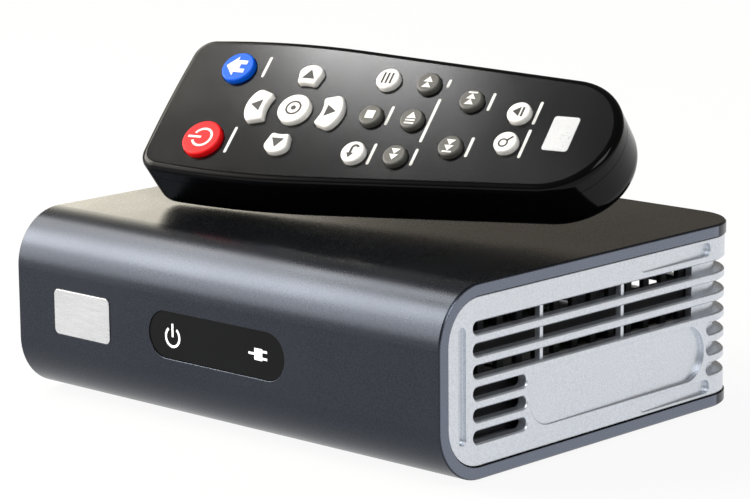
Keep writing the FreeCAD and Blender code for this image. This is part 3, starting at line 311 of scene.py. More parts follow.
# ---- finishes
@dataclass(frozen=True)
class Finish:
    """A finish: a plain even surface with a little grain. Its lengths are millimetres.

    Args:
        slot: The record's material slot that it belongs to, or the name of an ink or a plating.
        colour: Its colour.
        roughness: How matt it is.
        metallic: 1 for bare metal.
        specular: The strength of its plain reflection, where 0.5 is common plastic.
        fleck_size: The size of its flecks or grain.
        fleck_spread: How much the flecks change its shade.
        cloud_size: The size of its slow changes of shade.
        cloud_spread: How much those change its shade.
        rough_spread: How much its sheen changes.
        relief: How deep its grain is.
        edge_radius: The round on its edges, or 0.
        edge_light: How much paler its edges are painted, standing for both wear and a painted highlight.
        coat: The weight of a clear coat.
        coat_roughness: How matt that coat is.
    """

    slot: str
    colour: Colour
    roughness: float = 0.4
    metallic: float = 0.0
    specular: float = 0.5
    fleck_size: float = 0.25
    fleck_spread: float = 0.3
    cloud_size: float = 14.0
    cloud_spread: float = 0.15
    rough_spread: float = 0.12
    relief: float = 0.004
    edge_radius: float = 0.0
    edge_light: float = 0.0
    coat: float = 0.0
    coat_roughness: float = 0.1

    def material(self) -> bpy.types.Material:
        """Gives the finish's material, and builds it the first time.

        Returns:
            The material.
        """
        title = "finish_" + self.slot
        known = bpy.data.materials.get(title)
        if known:
            return known
        made = bpy.data.materials.new(title)
        made.use_nodes = True
        sheet = Wiring(made.node_tree)
        shader = made.node_tree.nodes["Principled BSDF"]
        for name, value in {"Metallic": self.metallic, "Specular IOR Level": self.specular,
                            "Coat Weight": self.coat, "Coat Roughness": self.coat_roughness}.items():
            shader.inputs[name].default_value = value
        colour, roughness, height = self.skin(sheet, self.place(sheet))
        bump = sheet.fed("ShaderNodeBump", {"Strength": 1.0, "Distance": self.relief * MM, "Height": height})
        if self.edge_radius:
            edges = SoftEdges().place(sheet, Radius=self.edge_radius * MM)
            sheet.feed(edges.outputs["Normal"], bump.inputs["Normal"])
            # Paler edges: partly wear, partly a painted highlight along the edges.
            if self.edge_light:
                worn_and_highlit = tuple(min(1.0, channel * (1 + self.edge_light)) for channel in self.colour)
                colour = sheet.blend(edges.outputs["Mask"], colour, worn_and_highlit)
        sheet.feed(colour, shader.inputs["Base Color"])
        sheet.feed(roughness, shader.inputs["Roughness"])
        sheet.feed(bump.outputs["Normal"], shader.inputs["Normal"])
        self.finish_shader(sheet, shader)
        return made

    def place(self, sheet: Wiring) -> Socket:
        """Gives the coordinates that the pattern is laid out on."""
        return sheet.node("ShaderNodeTexCoord").outputs["Object"]

    def skin(self, sheet: Wiring, place: Socket) -> Surface:
        """Lays out the surface.

        Args:
            sheet: The material's wiring.
            place: The pattern's coordinates.

        Returns:
            The sockets of its colour, roughness and height.
        """
        flecks = FleckedSkin().place(sheet, Vector=place, Color=(*self.colour, 1.0),
                                     Fleck_Size=self.fleck_size * MM, Fleck_Spread=self.fleck_spread,
                                     Cloud_Size=self.cloud_size * MM, Cloud_Spread=self.cloud_spread,
                                     Roughness=self.roughness, Roughness_Spread=self.rough_spread)
        return tuple(flecks.outputs)

    def finish_shader(self, sheet: Wiring, shader: bpy.types.Node) -> None:
        """Sets what only some finishes have."""


class Run(Enum):
    """The way that brushed lines run, as the turn that brings it onto X."""

    ALONG_X = (0.0, 0.0, 0.0)
    ALONG_Y = (0.0, 0.0, -math.pi / 2)
    ALONG_Z = (0.0, math.pi / 2, 0.0)


@dataclass(frozen=True)
class Brushed(Finish):
    """Metal with brushed or drawn lines.

    Args:
        run: The way that the lines run.
        line_length: How long they are.
        line_width: How wide they are.
    """

    metallic: float = 1.0
    run: Run = Run.ALONG_X
    line_length: float = 6.0
    line_width: float = 0.12

    def place(self, sheet: Wiring) -> Socket:
        """Gives the coordinates, turned so that the lines run along X.

        Args:
            sheet: The material's wiring.

        Returns:
            The turned coordinates.
        """
        flat = super().place(sheet)
        return sheet.fed("ShaderNodeMapping", {"Rotation": self.run.value, "Vector": flat}).outputs[0]

    def skin(self, sheet: Wiring, place: Socket) -> Surface:
        """Lays out the lines over the flecks and clouds.

        Args:
            sheet: The material's wiring.
            place: The pattern's coordinates.

        Returns:
            The sockets of its colour, roughness and height.
        """
        colour, roughness, _ = super().skin(sheet, place)
        lines = BrushedLines().place(sheet, Vector=place, Color=colour, Spread=self.fleck_spread,
                                     Line_Length=self.line_length * MM, Line_Width=self.line_width * MM,
                                     Roughness=roughness, Roughness_Spread=self.rough_spread)
        return tuple(lines.outputs)


@dataclass(frozen=True)
class Clear(Finish):
    """Clear or smoked plastic, with a little haze.

    Args:
        transmission: How much light it lets through.
        ior: How strongly it bends light.
    """

    roughness: float = 0.06
    fleck_spread: float = 0.02
    cloud_spread: float = 0.04
    relief: float = 0.001
    transmission: float = 0.92
    ior: float = 1.49

    def finish_shader(self, sheet: Wiring, shader: bpy.types.Node) -> None:
        """Lets light through."""
        shader.inputs["Transmission Weight"].default_value = self.transmission
        shader.inputs["IOR"].default_value = self.ior


@dataclass(frozen=True)
class Lit(Finish):
    """A lamp or a sign with light behind it.

    Args:
        glow: How bright it shines.
    """

    glow: float = 0.4

    def finish_shader(self, sheet: Wiring, shader: bpy.types.Node) -> None:
        """Makes it shine."""
        shader.inputs["Emission Color"].default_value = (*self.colour, 1.0)
        shader.inputs["Emission Strength"].default_value = self.glow


@dataclass(frozen=True)
class CircuitBoard(Finish):
    """Green solder mask with its tracks under it and round pads.

    Args:
        track: The colour of the mask over copper.
        pad: The colour of tinned copper.
        track_pitch: How far apart the tracks are.
        pad_pitch: How far apart the pads are.
        pad_scatter: How unevenly they lie, from 0 to 1.
        pad_rim: The outside and the inside of a pad's rim, as shares of the pitch.
    """

    track: Colour = (0.03, 0.16, 0.06)
    pad: Colour = (0.62, 0.60, 0.52)
    track_pitch: float = 1.1
    pad_pitch: float = 3.4
    pad_scatter: float = 0.55
    pad_rim: Pair = (0.16, 0.13)

    def skin(self, sheet: Wiring, place: Socket) -> Surface:
        """Lays out tracks and pads over the mask.

        Args:
            sheet: The material's wiring.
            place: The pattern's coordinates.

        Returns:
            The sockets of its colour, roughness and height.
        """
        colour, roughness, height = super().skin(sheet, place)
        rows = {"Vector": place, "Scale": 1 / (self.track_pitch * MM), "Mortar Size": 0.09, "Bias": 0.0,
                "Brick Width": 5.0, "Row Height": 1.0, "Mortar Smooth": 0.1}
        tracks = sheet.fed("ShaderNodeTexBrick", rows, offset=0.5, squash=1.0)
        tracked = sheet.blend(tracks.outputs["Fac"], colour, self.track)
        grid = {"Randomness": self.pad_scatter, "Scale": 1 / (self.pad_pitch * MM), "Vector": place}
        dots = sheet.fed("ShaderNodeTexVoronoi", grid)
        spot = sheet.span(dots.outputs["Distance"], *self.pad_rim)
        return sheet.blend(spot, tracked, self.pad), roughness, height


@dataclass(frozen=True)
class PaintedEndHighlightSleeve(Finish):
    """A coated sleeve along X, whose end faces are painted paler: a painted highlight for the light that they
    catch.

    Args:
        painted_highlight_from: Where the painted highlight on its ends starts, from its middle.
        painted_highlight_to: Where it has its full colour.
        painted_highlight_colour: The painted highlight's colour.
    """

    painted_highlight_from: float = 62.6
    painted_highlight_to: float = 62.7
    painted_highlight_colour: Colour = shade(114, 120, 134)

    def skin(self, sheet: Wiring, place: Socket) -> Surface:
        """Lays out the painted highlight on the ends over the flecks and clouds.

        Args:
            sheet: The material's wiring.
            place: The pattern's coordinates.

        Returns:
            The sockets of its colour, roughness and height.
        """
        colour, roughness, height = super().skin(sheet, place)
        # The end faces are painted paler: a painted highlight for the light that falls on them.
        side = sheet.sum("ABSOLUTE", sheet.fed("ShaderNodeSeparateXYZ", {0: place}).outputs[0])
        painted_highlight = sheet.span(side, self.painted_highlight_from * MM, self.painted_highlight_to * MM)
        return sheet.blend(painted_highlight, colour, self.painted_highlight_colour), roughness, height


LAMPS = Lit("led_white", shade(246, 248, 250), roughness=0.35, fleck_spread=0.05, cloud_size=3,
            cloud_spread=0.1, glow=0.35)
GILT = Brushed("gilt", shade(222, 178, 92), roughness=0.28, line_length=1.0, line_width=0.05)
NICKEL = Brushed("nickel", shade(196, 194, 188), roughness=0.22, run=Run.ALONG_Z, line_length=0.8,
                 line_width=0.06, edge_radius=0.1)
WHITE_INK = Finish("white_ink", shade(240, 240, 238), roughness=0.5, fleck_size=0.15, fleck_spread=0.15,
                   relief=0.002)
DARK_INK = Finish("dark_ink", shade(40, 40, 42), roughness=0.5, fleck_size=0.15, relief=0.002)

NODE_FINISHES = {finish.slot: finish for finish in (
    # The shell's end faces are painted paler, as a painted highlight.
    PaintedEndHighlightSleeve("shell_gunmetal", shade(50, 54, 62), roughness=0.28, metallic=0.9, fleck_size=0.32,
              fleck_spread=0.95, cloud_size=26, cloud_spread=0.12, relief=0.003, edge_radius=0.25,
              edge_light=0.7),
    Finish("frame_silver", shade(220, 225, 232), roughness=0.36, metallic=0.85, fleck_size=0.35,
           fleck_spread=0.6, cloud_size=12, cloud_spread=0.12, rough_spread=0.14, relief=0.005, edge_radius=0.3,
           edge_light=0.2),
    Finish("tray_black", shade(34, 35, 37), roughness=0.5, fleck_size=0.35, fleck_spread=0.5, relief=0.012,
           edge_radius=0.15),
    CircuitBoard("board_green", shade(16, 78, 42), roughness=0.34, fleck_spread=0.2, relief=0.006),
    Finish("chip_black", shade(30, 30, 32), roughness=0.55, fleck_size=0.2, fleck_spread=0.5, relief=0.01),
    Finish("pad_grey", shade(142, 146, 150), roughness=0.8, fleck_size=0.5, fleck_spread=0.4, relief=0.02),
    Brushed("sink_aluminium", shade(176, 178, 182), roughness=0.34, run=Run.ALONG_Y, fleck_spread=0.5),
    Finish("part_dark", shade(48, 46, 50), roughness=0.42, fleck_size=0.4, fleck_spread=0.4, relief=0.008),
    LAMPS,
    Clear("guide_clear", shade(232, 238, 240)),
    Finish("window_black", shade(13, 14, 16), roughness=0.22, specular=0.1, fleck_size=0.3, relief=0.0015,
           edge_radius=0.12),
    Brushed("badge_steel", shade(205, 206, 208), roughness=0.3, fleck_spread=0.55, line_length=4.0,
            line_width=0.09, relief=0.003, edge_radius=0.15),
    Finish("foot_rubber", shade(24, 24, 25), roughness=0.85, fleck_size=0.4, fleck_spread=0.5, relief=0.02),
    Brushed("screw_steel", shade(168, 168, 170), roughness=0.32, line_length=1.0, edge_radius=0.1),
    Finish("jack_black", shade(26, 26, 28), fleck_size=0.3, relief=0.008, edge_radius=0.1),
    Brushed("port_steel", shade(186, 186, 184), roughness=0.26, line_length=3.0, line_width=0.15,
            fleck_spread=0.4, edge_radius=0.08),
    Finish("shutter_black", shade(22, 22, 24), roughness=0.35, relief=0.006, edge_radius=0.1),
    Finish("button_black", shade(30, 30, 32), roughness=0.45, relief=0.006, edge_radius=0.1),
    Finish("jack_red", shade(186, 24, 28), roughness=0.34, edge_radius=0.1),
    Finish("jack_white", shade(226, 226, 222), roughness=0.34, edge_radius=0.1),
    Finish("jack_yellow", shade(238, 190, 24), roughness=0.34, edge_radius=0.1),
    Finish("remote_gloss", shade(6, 6, 7), roughness=0.12, specular=0.14, fleck_size=0.5, fleck_spread=0.2,
           cloud_size=9, rough_spread=0.06, relief=0.0006),
    Finish("remote_satin", shade(9, 9, 9), roughness=0.14, fleck_size=0.22, fleck_spread=0.35, cloud_size=20,
           rough_spread=0.08, relief=0.002),
    Brushed("label_steel", shade(214, 215, 216), roughness=0.32, line_length=3.0, line_width=0.08,
            fleck_spread=0.45),
    Finish("ir_dark", shade(20, 6, 10), roughness=0.08, fleck_spread=0.1, relief=0.0008, coat=0.5),
    Clear("lamp_clear", shade(206, 214, 235)),
    Finish("mat_rubber", shade(190, 190, 186), roughness=0.7, fleck_size=0.5, relief=0.01),
    Brushed("cell_steel", shade(190, 191, 193), roughness=0.24, run=Run.ALONG_Y, line_length=9.0),
    Brushed("contact_steel", shade(198, 196, 190), roughness=0.3, line_length=1.5),
    Finish("door_black", shade(13, 13, 14), roughness=0.2, fleck_size=0.3, relief=0.002, edge_radius=0.15,
           coat=0.3, coat_roughness=0.08),
    Finish("key_dark", shade(84, 84, 80), roughness=0.42, fleck_size=0.35, fleck_spread=0.9, cloud_size=3,
           relief=0.006),
    Finish("key_white", shade(246, 245, 241), roughness=0.42, fleck_size=0.3, fleck_spread=0.08, cloud_size=4,
           cloud_spread=0.08, relief=0.003),
    Finish("key_red", shade(238, 14, 22), roughness=0.42, specular=0.2, fleck_size=0.3, fleck_spread=0.2,
           cloud_size=4, relief=0.002),
    Finish("key_blue", shade(2, 96, 232), roughness=0.42, specular=0.2, fleck_size=0.3, fleck_spread=0.2,
           cloud_size=4, relief=0.002),
)}


def dress(*names: str) -> None:
    """Gives CAD nodes the finishes of their material slots.

    Args:
        names: The nodes' names.
    """
    for name in names:
        for slot in frame["nodes"][name].material_slots:
            slot.material = NODE_FINISHES[slot.material.name.split(".")[0]].material()
    log.info("dressed %s", ", ".join(names))


def put_in_scene(title: str, data: bpy.types.ID) -> bpy.types.Object:
    """Puts a new object in the scene.

    Args:
        title: Its name.
        data: Its mesh, lamp or camera.

    Returns:
        The object.
    """
    made = bpy.data.objects.new(title, data)
    bpy.context.scene.collection.objects.link(made)
    return made


# ---- flat signs and small pieces
@dataclass(frozen=True)
class Face:
    """A face that signs are printed on.

    Args:
        middle: The point that signs are measured from.
        right: The way that a sign reads.
        up: The way that a sign stands.
        node: The CAD node whose surface carries the print.
        body: The CAD body that it moves with.
    """

    middle: Vector
    right: Vector
    up: Vector
    node: str
    body: str

    def out(self) -> Vector:
        """Gives the way that the face looks."""
        return self.right.cross(self.up).normalized()

    def matrix(self) -> Matrix:
        """Gives the turn and shift that lay a drawing in metres on the face."""
        turn = Matrix((self.right, self.up, self.out())).transposed().to_4x4()
        return Matrix.Translation(self.middle) @ turn


class Mark(Enum):
    """The marks that signs are made of."""

    DISC = "disc"
    PATCH = "patch"
    BAR = "bar"
    ARROW = "arrow"
    ARC = "arc"


class Sign:
    """A flat drawing in millimetres, which is then printed on a face.

    Its ink starts a share of its thickness above the face. Edges longer than the longest are cut up, so
    that the film follows a curved face.
    """

    ink_thickness = 0.05
    ink_lift = 0.2
    search_height = 8.0
    longest_edge = 0.6
    edge_cuts = 3
    disc_steps = 32
    arc_steps = 36

    def __init__(self, title: str, *marks: tuple) -> None:
        """Makes the drawing.

        Args:
            title: The piece's name.
            marks: The kind of each mark, with the numbers that its method takes.
        """
        self.title = title
        self.bm = bmesh.new()
        for kind, *numbers in marks:
            getattr(self, kind.value)(*numbers)

    def disc(self, x: float, y: float, radius: float) -> None:
        """Draws a filled circle."""
        bmesh.ops.create_circle(self.bm, cap_ends=True, segments=self.disc_steps, radius=radius,
                                matrix=Matrix.Translation((x, y, 0)))

    def patch(self, *corners: Pair) -> None:
        """Draws a filled outline from its corners."""
        self.bm.faces.new([self.bm.verts.new((x, y, 0)) for x, y in corners])

    def bar(self, x: float, y: float, width: float, height: float) -> None:
        """Draws an upright bar by its middle."""
        place = Matrix.Translation((x, y, 0)) @ Matrix.Diagonal((width, height, 1, 1))
        bmesh.ops.create_grid(self.bm, x_segments=1, y_segments=1, size=0.5, matrix=place)

    def arrow(self, x: float, y: float, base: float, height: float, turn: float) -> None:
        """Draws a triangle.

        Args:
            x: Its middle from the left to the right.
            y: Its middle upwards.
            base: How long its base is.
            height: How far its tip is from its base.
            turn: How many degrees it is turned from pointing right.
        """
        spin = Matrix.Rotation(math.radians(turn), 2)
        tips = (Vector((height / 2, 0)), Vector((-height / 2, base / 2)), Vector((-height / 2, -base / 2)))
        self.patch(*[tuple(Vector((x, y)) + spin @ tip) for tip in tips])

    def arc(self, x: float, y: float, radius: float, stroke: float, start: float = 0.0,
            sweep: float = 360.0) -> None:
        """Draws a ring or a part of one.

        Args:
            x: Its middle from the left to the right.
            y: Its middle upwards.
            radius: The radius of the middle of its line.
            stroke: The width of its line.
            start: Where it starts, in degrees from the right.
            sweep: How far it goes round.
        """
        first = math.radians(start)
        ends = [self.bm.verts.new((x + reach * math.cos(first), y + reach * math.sin(first), 0))
                for reach in (radius - stroke / 2, radius + stroke / 2)]
        edge = self.bm.edges.new(ends)
        full = sweep >= 360.0
        bmesh.ops.spin(self.bm, geom=ends + [edge], cent=(x, y, 0), axis=(0, 0, 1), angle=math.radians(sweep),
                       steps=self.arc_steps, use_merge=full, use_duplicate=False)

    def print_on(self, face: Face, finish: Finish, slot: str) -> bpy.types.Object:
        """Prints the drawing on a face, as a thin film of ink that follows its surface.

        Args:
            face: The face.
            finish: The ink.
            slot: The record's material slot that the ink belongs to; it is not used.

        Returns:
            The piece.
        """
        self.mesh_finely()
        bmesh.ops.transform(self.bm, matrix=face.matrix(), verts=self.bm.verts)
        out = face.out()
        self.drape(face, out)
        film = bmesh.ops.extrude_face_region(self.bm, geom=self.bm.faces[:], use_keep_orig=True)
        raised = [item for item in film["geom"] if isinstance(item, bmesh.types.BMVert)]
        bmesh.ops.translate(self.bm, vec=out * self.ink_thickness * MM, verts=raised)
        bmesh.ops.recalc_face_normals(self.bm, faces=self.bm.faces)
        return finished_piece(self.title, self.bm, finish, face.body)

    def mesh_finely(self) -> None:
        """Brings the drawing to metres, cuts up its long edges and turns its faces up."""
        bmesh.ops.scale(self.bm, vec=(MM, MM, MM), verts=self.bm.verts)
        bmesh.ops.remove_doubles(self.bm, verts=self.bm.verts, dist=MERGE_DISTANCE)
        long_edges = [edge for edge in self.bm.edges if edge.calc_length() > self.longest_edge * MM]
        if long_edges:
            bmesh.ops.subdivide_edges(self.bm, edges=long_edges, cuts=self.edge_cuts, use_grid_fill=True)
        bmesh.ops.recalc_face_normals(self.bm, faces=self.bm.faces)
        for flat in self.bm.faces:
            if flat.normal.z < 0:
                flat.normal_flip()

    def drape(self, face: Face, out: Vector) -> None:
        """Drops the drawing onto the surface of the face's node, just above it.

        Args:
            face: The face.
            out: The way that it looks.
        """
        carrier = bmesh.new()
        carrier.from_mesh(frame["nodes"][face.node].data)
        tree = BVHTree.FromBMesh(carrier)
        carrier.free()
        for vert in self.bm.verts:
            hit = tree.ray_cast(vert.co + out * self.search_height * MM, -out)[0]
            if hit is not None:
                vert.co = hit + out * self.ink_lift * self.ink_thickness * MM


def finished_piece(title: str, bm: bmesh.types.BMesh, finish: Finish, body: str,
                   smooth: bool = False) -> bpy.types.Object:
    """Makes an object of a mesh that is in place, dresses it and puts it on its body.

    Args:
        title: The piece's name.
        bm: Its mesh, in metres in the row frame.
        finish: Its finish.
        body: The CAD body that it moves with.
        smooth: Whether its round faces are shaded smooth, with its sharp edges kept.

    Returns:
        The piece.
    """
    mesh = bpy.data.meshes.new(title)
    if smooth:
        for face in bm.faces:
            face.smooth = True
        for edge in bm.edges:
            edge.smooth = edge.is_manifold and edge.calc_face_angle(0) < SHARP_ANGLE
    bm.to_mesh(mesh)
    bm.free()
    piece = put_in_scene(title, mesh)
    mesh.materials.append(finish.material())
    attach(piece, body)
    log.info("made %s on %s", title, body)
    return piece


# ---- the player
@dataclass
class PlayerHousing:
    """The shell, the slotted frame, the tray and what shows on the front and underneath."""

    sign_x: float = 13.1
    power_ring: float = 2.05
    stroke: float = 0.55

    def build(self) -> None:
        """Dresses the housing and prints the two lit signs on its window."""
        dress("outer_shell", "vent_frame", "base_tray", "indicator_window", "badge_plate", "rubber_feet",
              "case_screws")
        self.print_power_sign()
        self.print_plug_sign()

    def face(self, x: float) -> Face:
        """Gives the window's face.

        Args:
            x: How far to the right of its middle the signs are measured from.

        Returns:
            The face.
        """
        low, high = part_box("indicator_window")
        return Face(Vector(((low.x + high.x) / 2 + x * MM, low.y, (low.z + high.z) / 2)), Vector((1, 0, 0)),
                    Vector((0, 0, 1)), "indicator_window", "player")

    def print_power_sign(self) -> None:
        """Prints the standby ring and bar."""
        sign = Sign("power_sign", (Mark.ARC, 0, -0.3, self.power_ring, self.stroke, 125, 290),
                    (Mark.BAR, 0, 1.15, self.stroke, 2.9))
        sign.print_on(self.face(-self.sign_x), LAMPS, "led_white")

    def print_plug_sign(self) -> None:
        """Prints a plain two-pin plug on its lead, which marks the side socket."""
        sign = Sign("plug_sign", (Mark.BAR, -2.55, 0, 1.7, 0.5), (Mark.BAR, -0.55, 0, 2.3, 2.5),
                    (Mark.BAR, 1.3, 0.75, 1.4, 0.5), (Mark.BAR, 1.3, -0.75, 1.4, 0.5))
        sign.print_on(self.face(self.sign_x), LAMPS, "led_white")


@dataclass
class PlayerInside:
    """The main board with its parts, seen through the slots."""

    def build(self) -> None:
        """Dresses the board and everything on it."""
        dress("main_board", "processor", "thermal_pad", "heat_sink", "memory_chips", "board_parts",
              "indicator_leds", "light_guide", "board_screws", "reset_switch")


@dataclass
class PlayerPorts:
    """The sockets at the back and on the left side, with their contacts and collars.

    A profile gives each corner's radius and its place along the socket, which is 0 at the mouth and less
    than 0 inside.
    """

    strip_length: float = 7.0
    strip_thickness: float = 0.12
    strip_round: float = 0.03
    usb_strips: tuple[float, ...] = (-3.5, -1.0, 1.0, 3.5)
    usb_strip_width: float = 1.1
    usb_tongue_under: float = 2.9
    hdmi_pitch: float = 0.95
    hdmi_rows: tuple[tuple[int, int], ...] = ((1, 10), (-1, 9))
    hdmi_strip_length: float = 6.0
    hdmi_strip_width: float = 0.45
    hdmi_tongue_half: float = 0.6
    strip_set_back: float = 1.5
    collar_profile: tuple[Pair, ...] = ((4.15, -6.5), (4.27, -6.5), (4.27, 0.09), (4.21, 0.12), (3.4, 0.12),
                                        (3.4, 0.0), (4.15, 0.0))
    sleeve_profile: tuple[Pair, ...] = ((0.01, -10.0), (1.05, -10.0), (1.05, -1.75), (0.735, -1.45),
                                        (0.01, -1.33))
    turn_steps: int = 48

    def build(self) -> None:
        """Dresses the sockets and adds their metal pieces."""
        dress("power_jack", "usb_port_rear", "usb_port_side", "hdmi_port", "optical_port", "optical_shutter",
              "video_jack", "audio_left_jack", "audio_right_jack", "reset_button")
        self.usb_contacts()
        self.hdmi_contacts()
        for name in ("video_jack", "audio_left_jack", "audio_right_jack"):
            self.sleeve(name, name + "_collar", self.collar_profile)
        self.sleeve("power_jack", "power_jack_sleeve", self.sleeve_profile)

    def contacts(self, name: str, middles: list[Vector], size: Vector) -> None:
        """Adds a socket's gilt strips, with soft edges.

        Args:
            name: The socket's node.
            middles: The middle of each strip.
            size: The length of a strip along each axis, in millimetres.
        """
        bm = bmesh.new()
        for middle in middles:
            place = Matrix.Translation(middle) @ Matrix.Diagonal((*(size * MM), 1))
            made = bmesh.ops.create_cube(bm, size=1.0, matrix=place)
            edges = {edge for vert in made["verts"] for edge in vert.link_edges}
            bmesh.ops.bevel(bm, geom=list(edges), offset=self.strip_round * MM, offset_type="OFFSET", segments=1,
                            profile=0.5, affect="EDGES", material=-1)
        finished_piece(name + "_contacts", bm, GILT, "player")

    def usb_contacts(self) -> None:
        """Lays four strips under the tongue of each flat socket: one looks back and one to the left."""
        width, length, thickness = self.usb_strip_width, self.strip_length, self.strip_thickness
        reach = (self.strip_set_back + length / 2) * MM
        rise = (self.usb_tongue_under - thickness / 2) * MM
        low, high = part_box("usb_port_rear")
        middles = [Vector(((low.x + high.x) / 2 + offset * MM, high.y - reach, low.z + rise))
                   for offset in self.usb_strips]
        self.contacts("usb_port_rear", middles, Vector((width, length, thickness)))
        low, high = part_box("usb_port_side")
        middles = [Vector((low.x + reach, (low.y + high.y) / 2 + offset * MM, low.z + rise))
                   for offset in self.usb_strips]
        self.contacts("usb_port_side", middles, Vector((length, width, thickness)))

    def hdmi_contacts(self) -> None:
        """Lays the two rows of narrow strips on the video socket's tongue."""
        mouth = self.mouth("hdmi_port")
        y = -self.strip_set_back - self.hdmi_strip_length / 2
        lift = self.hdmi_tongue_half + self.strip_thickness / 2
        middles = [mouth + Vector(((i - (count - 1) / 2) * self.hdmi_pitch, y, side * lift)) * MM
                   for side, count in self.hdmi_rows for i in range(count)]
        size = Vector((self.hdmi_strip_width, self.hdmi_strip_length, self.strip_thickness))
        self.contacts("hdmi_port", middles, size)

    def turned(self, profile: tuple[Pair, ...], middle: Vector) -> bmesh.types.BMesh:
        """Turns a profile about an axis along Y.

        Args:
            profile: Radius and Y of each corner, in millimetres, Y measured from the middle.
            middle: The point on the axis that the profile is measured from.

        Returns:
            The closed mesh.
        """
        bm = bmesh.new()
        verts = [bm.verts.new(middle + Vector((radius, y, 0)) * MM) for radius, y in profile]
        edges = [bm.edges.new(pair) for pair in zip(verts, verts[1:] + verts[:1])]
        bmesh.ops.spin(bm, geom=verts + edges, cent=middle, axis=(0, 1, 0), angle=2 * math.pi,
                       steps=self.turn_steps, use_merge=True, use_duplicate=False)
        bmesh.ops.remove_doubles(bm, verts=bm.verts, dist=MERGE_DISTANCE)
        bmesh.ops.recalc_face_normals(bm, faces=bm.faces)
        return bm

    def mouth(self, name: str) -> Vector:
        """Gives the middle of a socket's back end."""
        low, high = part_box(name)
        return Vector(((low.x + high.x) / 2, high.y, (low.z + high.z) / 2))

    def sleeve(self, name: str, title: str, profile: tuple[Pair, ...]) -> None:
        """Puts a bare metal sleeve round the middle of a socket at the back.

        Args:
            name: The socket's node.
            title: The sleeve's name.
            profile: The corners of its section.
        """
        bm = self.turned(profile, self.mouth(name))
        finished_piece(title, bm, NICKEL, "player", smooth=True)


# ---- the remote control
class Ink(Enum):
    """The inks on the remote, with the material slot that each belongs to."""

    WHITE = (WHITE_INK, "key_white")
    DARK = (DARK_INK, "key_dark")


BACK_ARROWS, ON_ARROWS = (tuple((Mark.ARROW, x, 0, 2.2, 1.45, turn) for x in (-0.76, 0.76))
                          for turn in (180, 0))
KEY_SIGNS = {
    "power_key": (Ink.WHITE, (Mark.ARC, 0, -0.2, 2.3, 0.55, 115, 310), (Mark.BAR, 0, 1.75, 0.55, 3.3)),
    "home_key": (Ink.WHITE,
                 (Mark.PATCH, (0, 2.9), (-2.7, 0.5), (-1.7, 0.5), (0, 0.5), (1.7, 0.5), (2.7, 0.5)),
                 (Mark.PATCH, (-1.7, 0.5), (-1.7, -2.1), (-0.65, -2.1), (-0.65, -0.6), (0, -0.6), (0, 0.5)),
                 (Mark.PATCH, (0, 0.5), (0, -0.6), (0.65, -0.6), (0.65, -2.1), (1.7, -2.1), (1.7, 0.5))),
    "up_key": (Ink.DARK, (Mark.ARROW, 0, 0.25, 3.1, 2.5, 90)),
    "down_key": (Ink.DARK, (Mark.ARROW, 0, -0.1, 3.1, 2.5, -90)),
    "left_key": (Ink.DARK, (Mark.ARROW, -0.1, 0, 3.1, 2.5, 180)),
    "right_key": (Ink.DARK, (Mark.ARROW, -0.1, 0, 3.1, 2.5, 0)),
    "enter_key": (Ink.DARK, (Mark.ARC, 0, 0, 1.7, 0.42), (Mark.DISC, 0, 0, 0.6)),
    "menu_key": (Ink.DARK, *((Mark.BAR, 0, y, 2.9, 0.42) for y in (-1.0, 0.0, 1.0))),
    "back_key": (Ink.DARK, (Mark.ARROW, -1.15, 0.45, 1.7, 1.3, 180), (Mark.BAR, 0.1, 0.45, 1.3, 0.55),
                 (Mark.ARC, 0.75, -0.35, 0.8, 0.55, -60, 150)),
    "stop_key": (Ink.WHITE, (Mark.BAR, 0, 0, 2.1, 2.1)),
    "play_pause_key": (Ink.WHITE, (Mark.BAR, -1.45, 0, 0.4, 2.3), (Mark.BAR, -0.65, 0, 0.4, 2.3),
                       (Mark.ARROW, 0.75, 0, 2.3, 1.7, 0)),
    "rewind_key": (Ink.WHITE, *BACK_ARROWS),
    "fast_forward_key": (Ink.WHITE, *ON_ARROWS),
    "previous_key": (Ink.WHITE, *BACK_ARROWS, (Mark.BAR, -1.74, 0, 0.38, 2.2)),
    "next_key": (Ink.WHITE, *ON_ARROWS, (Mark.BAR, 1.74, 0, 0.38, 2.2)),
    "search_key": (Ink.DARK, (Mark.ARC, -0.45, 0.35, 0.95, 0.36),
                   (Mark.PATCH, (0.15, -0.5), (0.45, -0.2), (1.55, -1.3), (1.25, -1.6))),
    "eject_key": (Ink.DARK, (Mark.ARROW, 0, 0.55, 2.5, 1.7, 90), (Mark.BAR, 0, -0.95, 2.5, 0.45)),
}

# The lines beside the keys, each by its place along the face and its two ends across it.
LEGENDS = {"home": (-12.6, 8.5, 14.3), "power": (-12.5, -12.9, -5.7), "stop": (23.4, -1.7, 3.5),
           "back": (23.5, -12.5, -6.8), "rewind": (33.8, -11.7, -7.2), "play": (33.6, -5.4, 6.5),
           "forward": (34.0, 9.7, 11.9), "next": (45.9, 4.4, 9.2), "previous": (45.6, -8.2, -2.9),
           "search": (57.8, -7.2, 0.4), "eject": (57.7, 1.8, 7.9)}


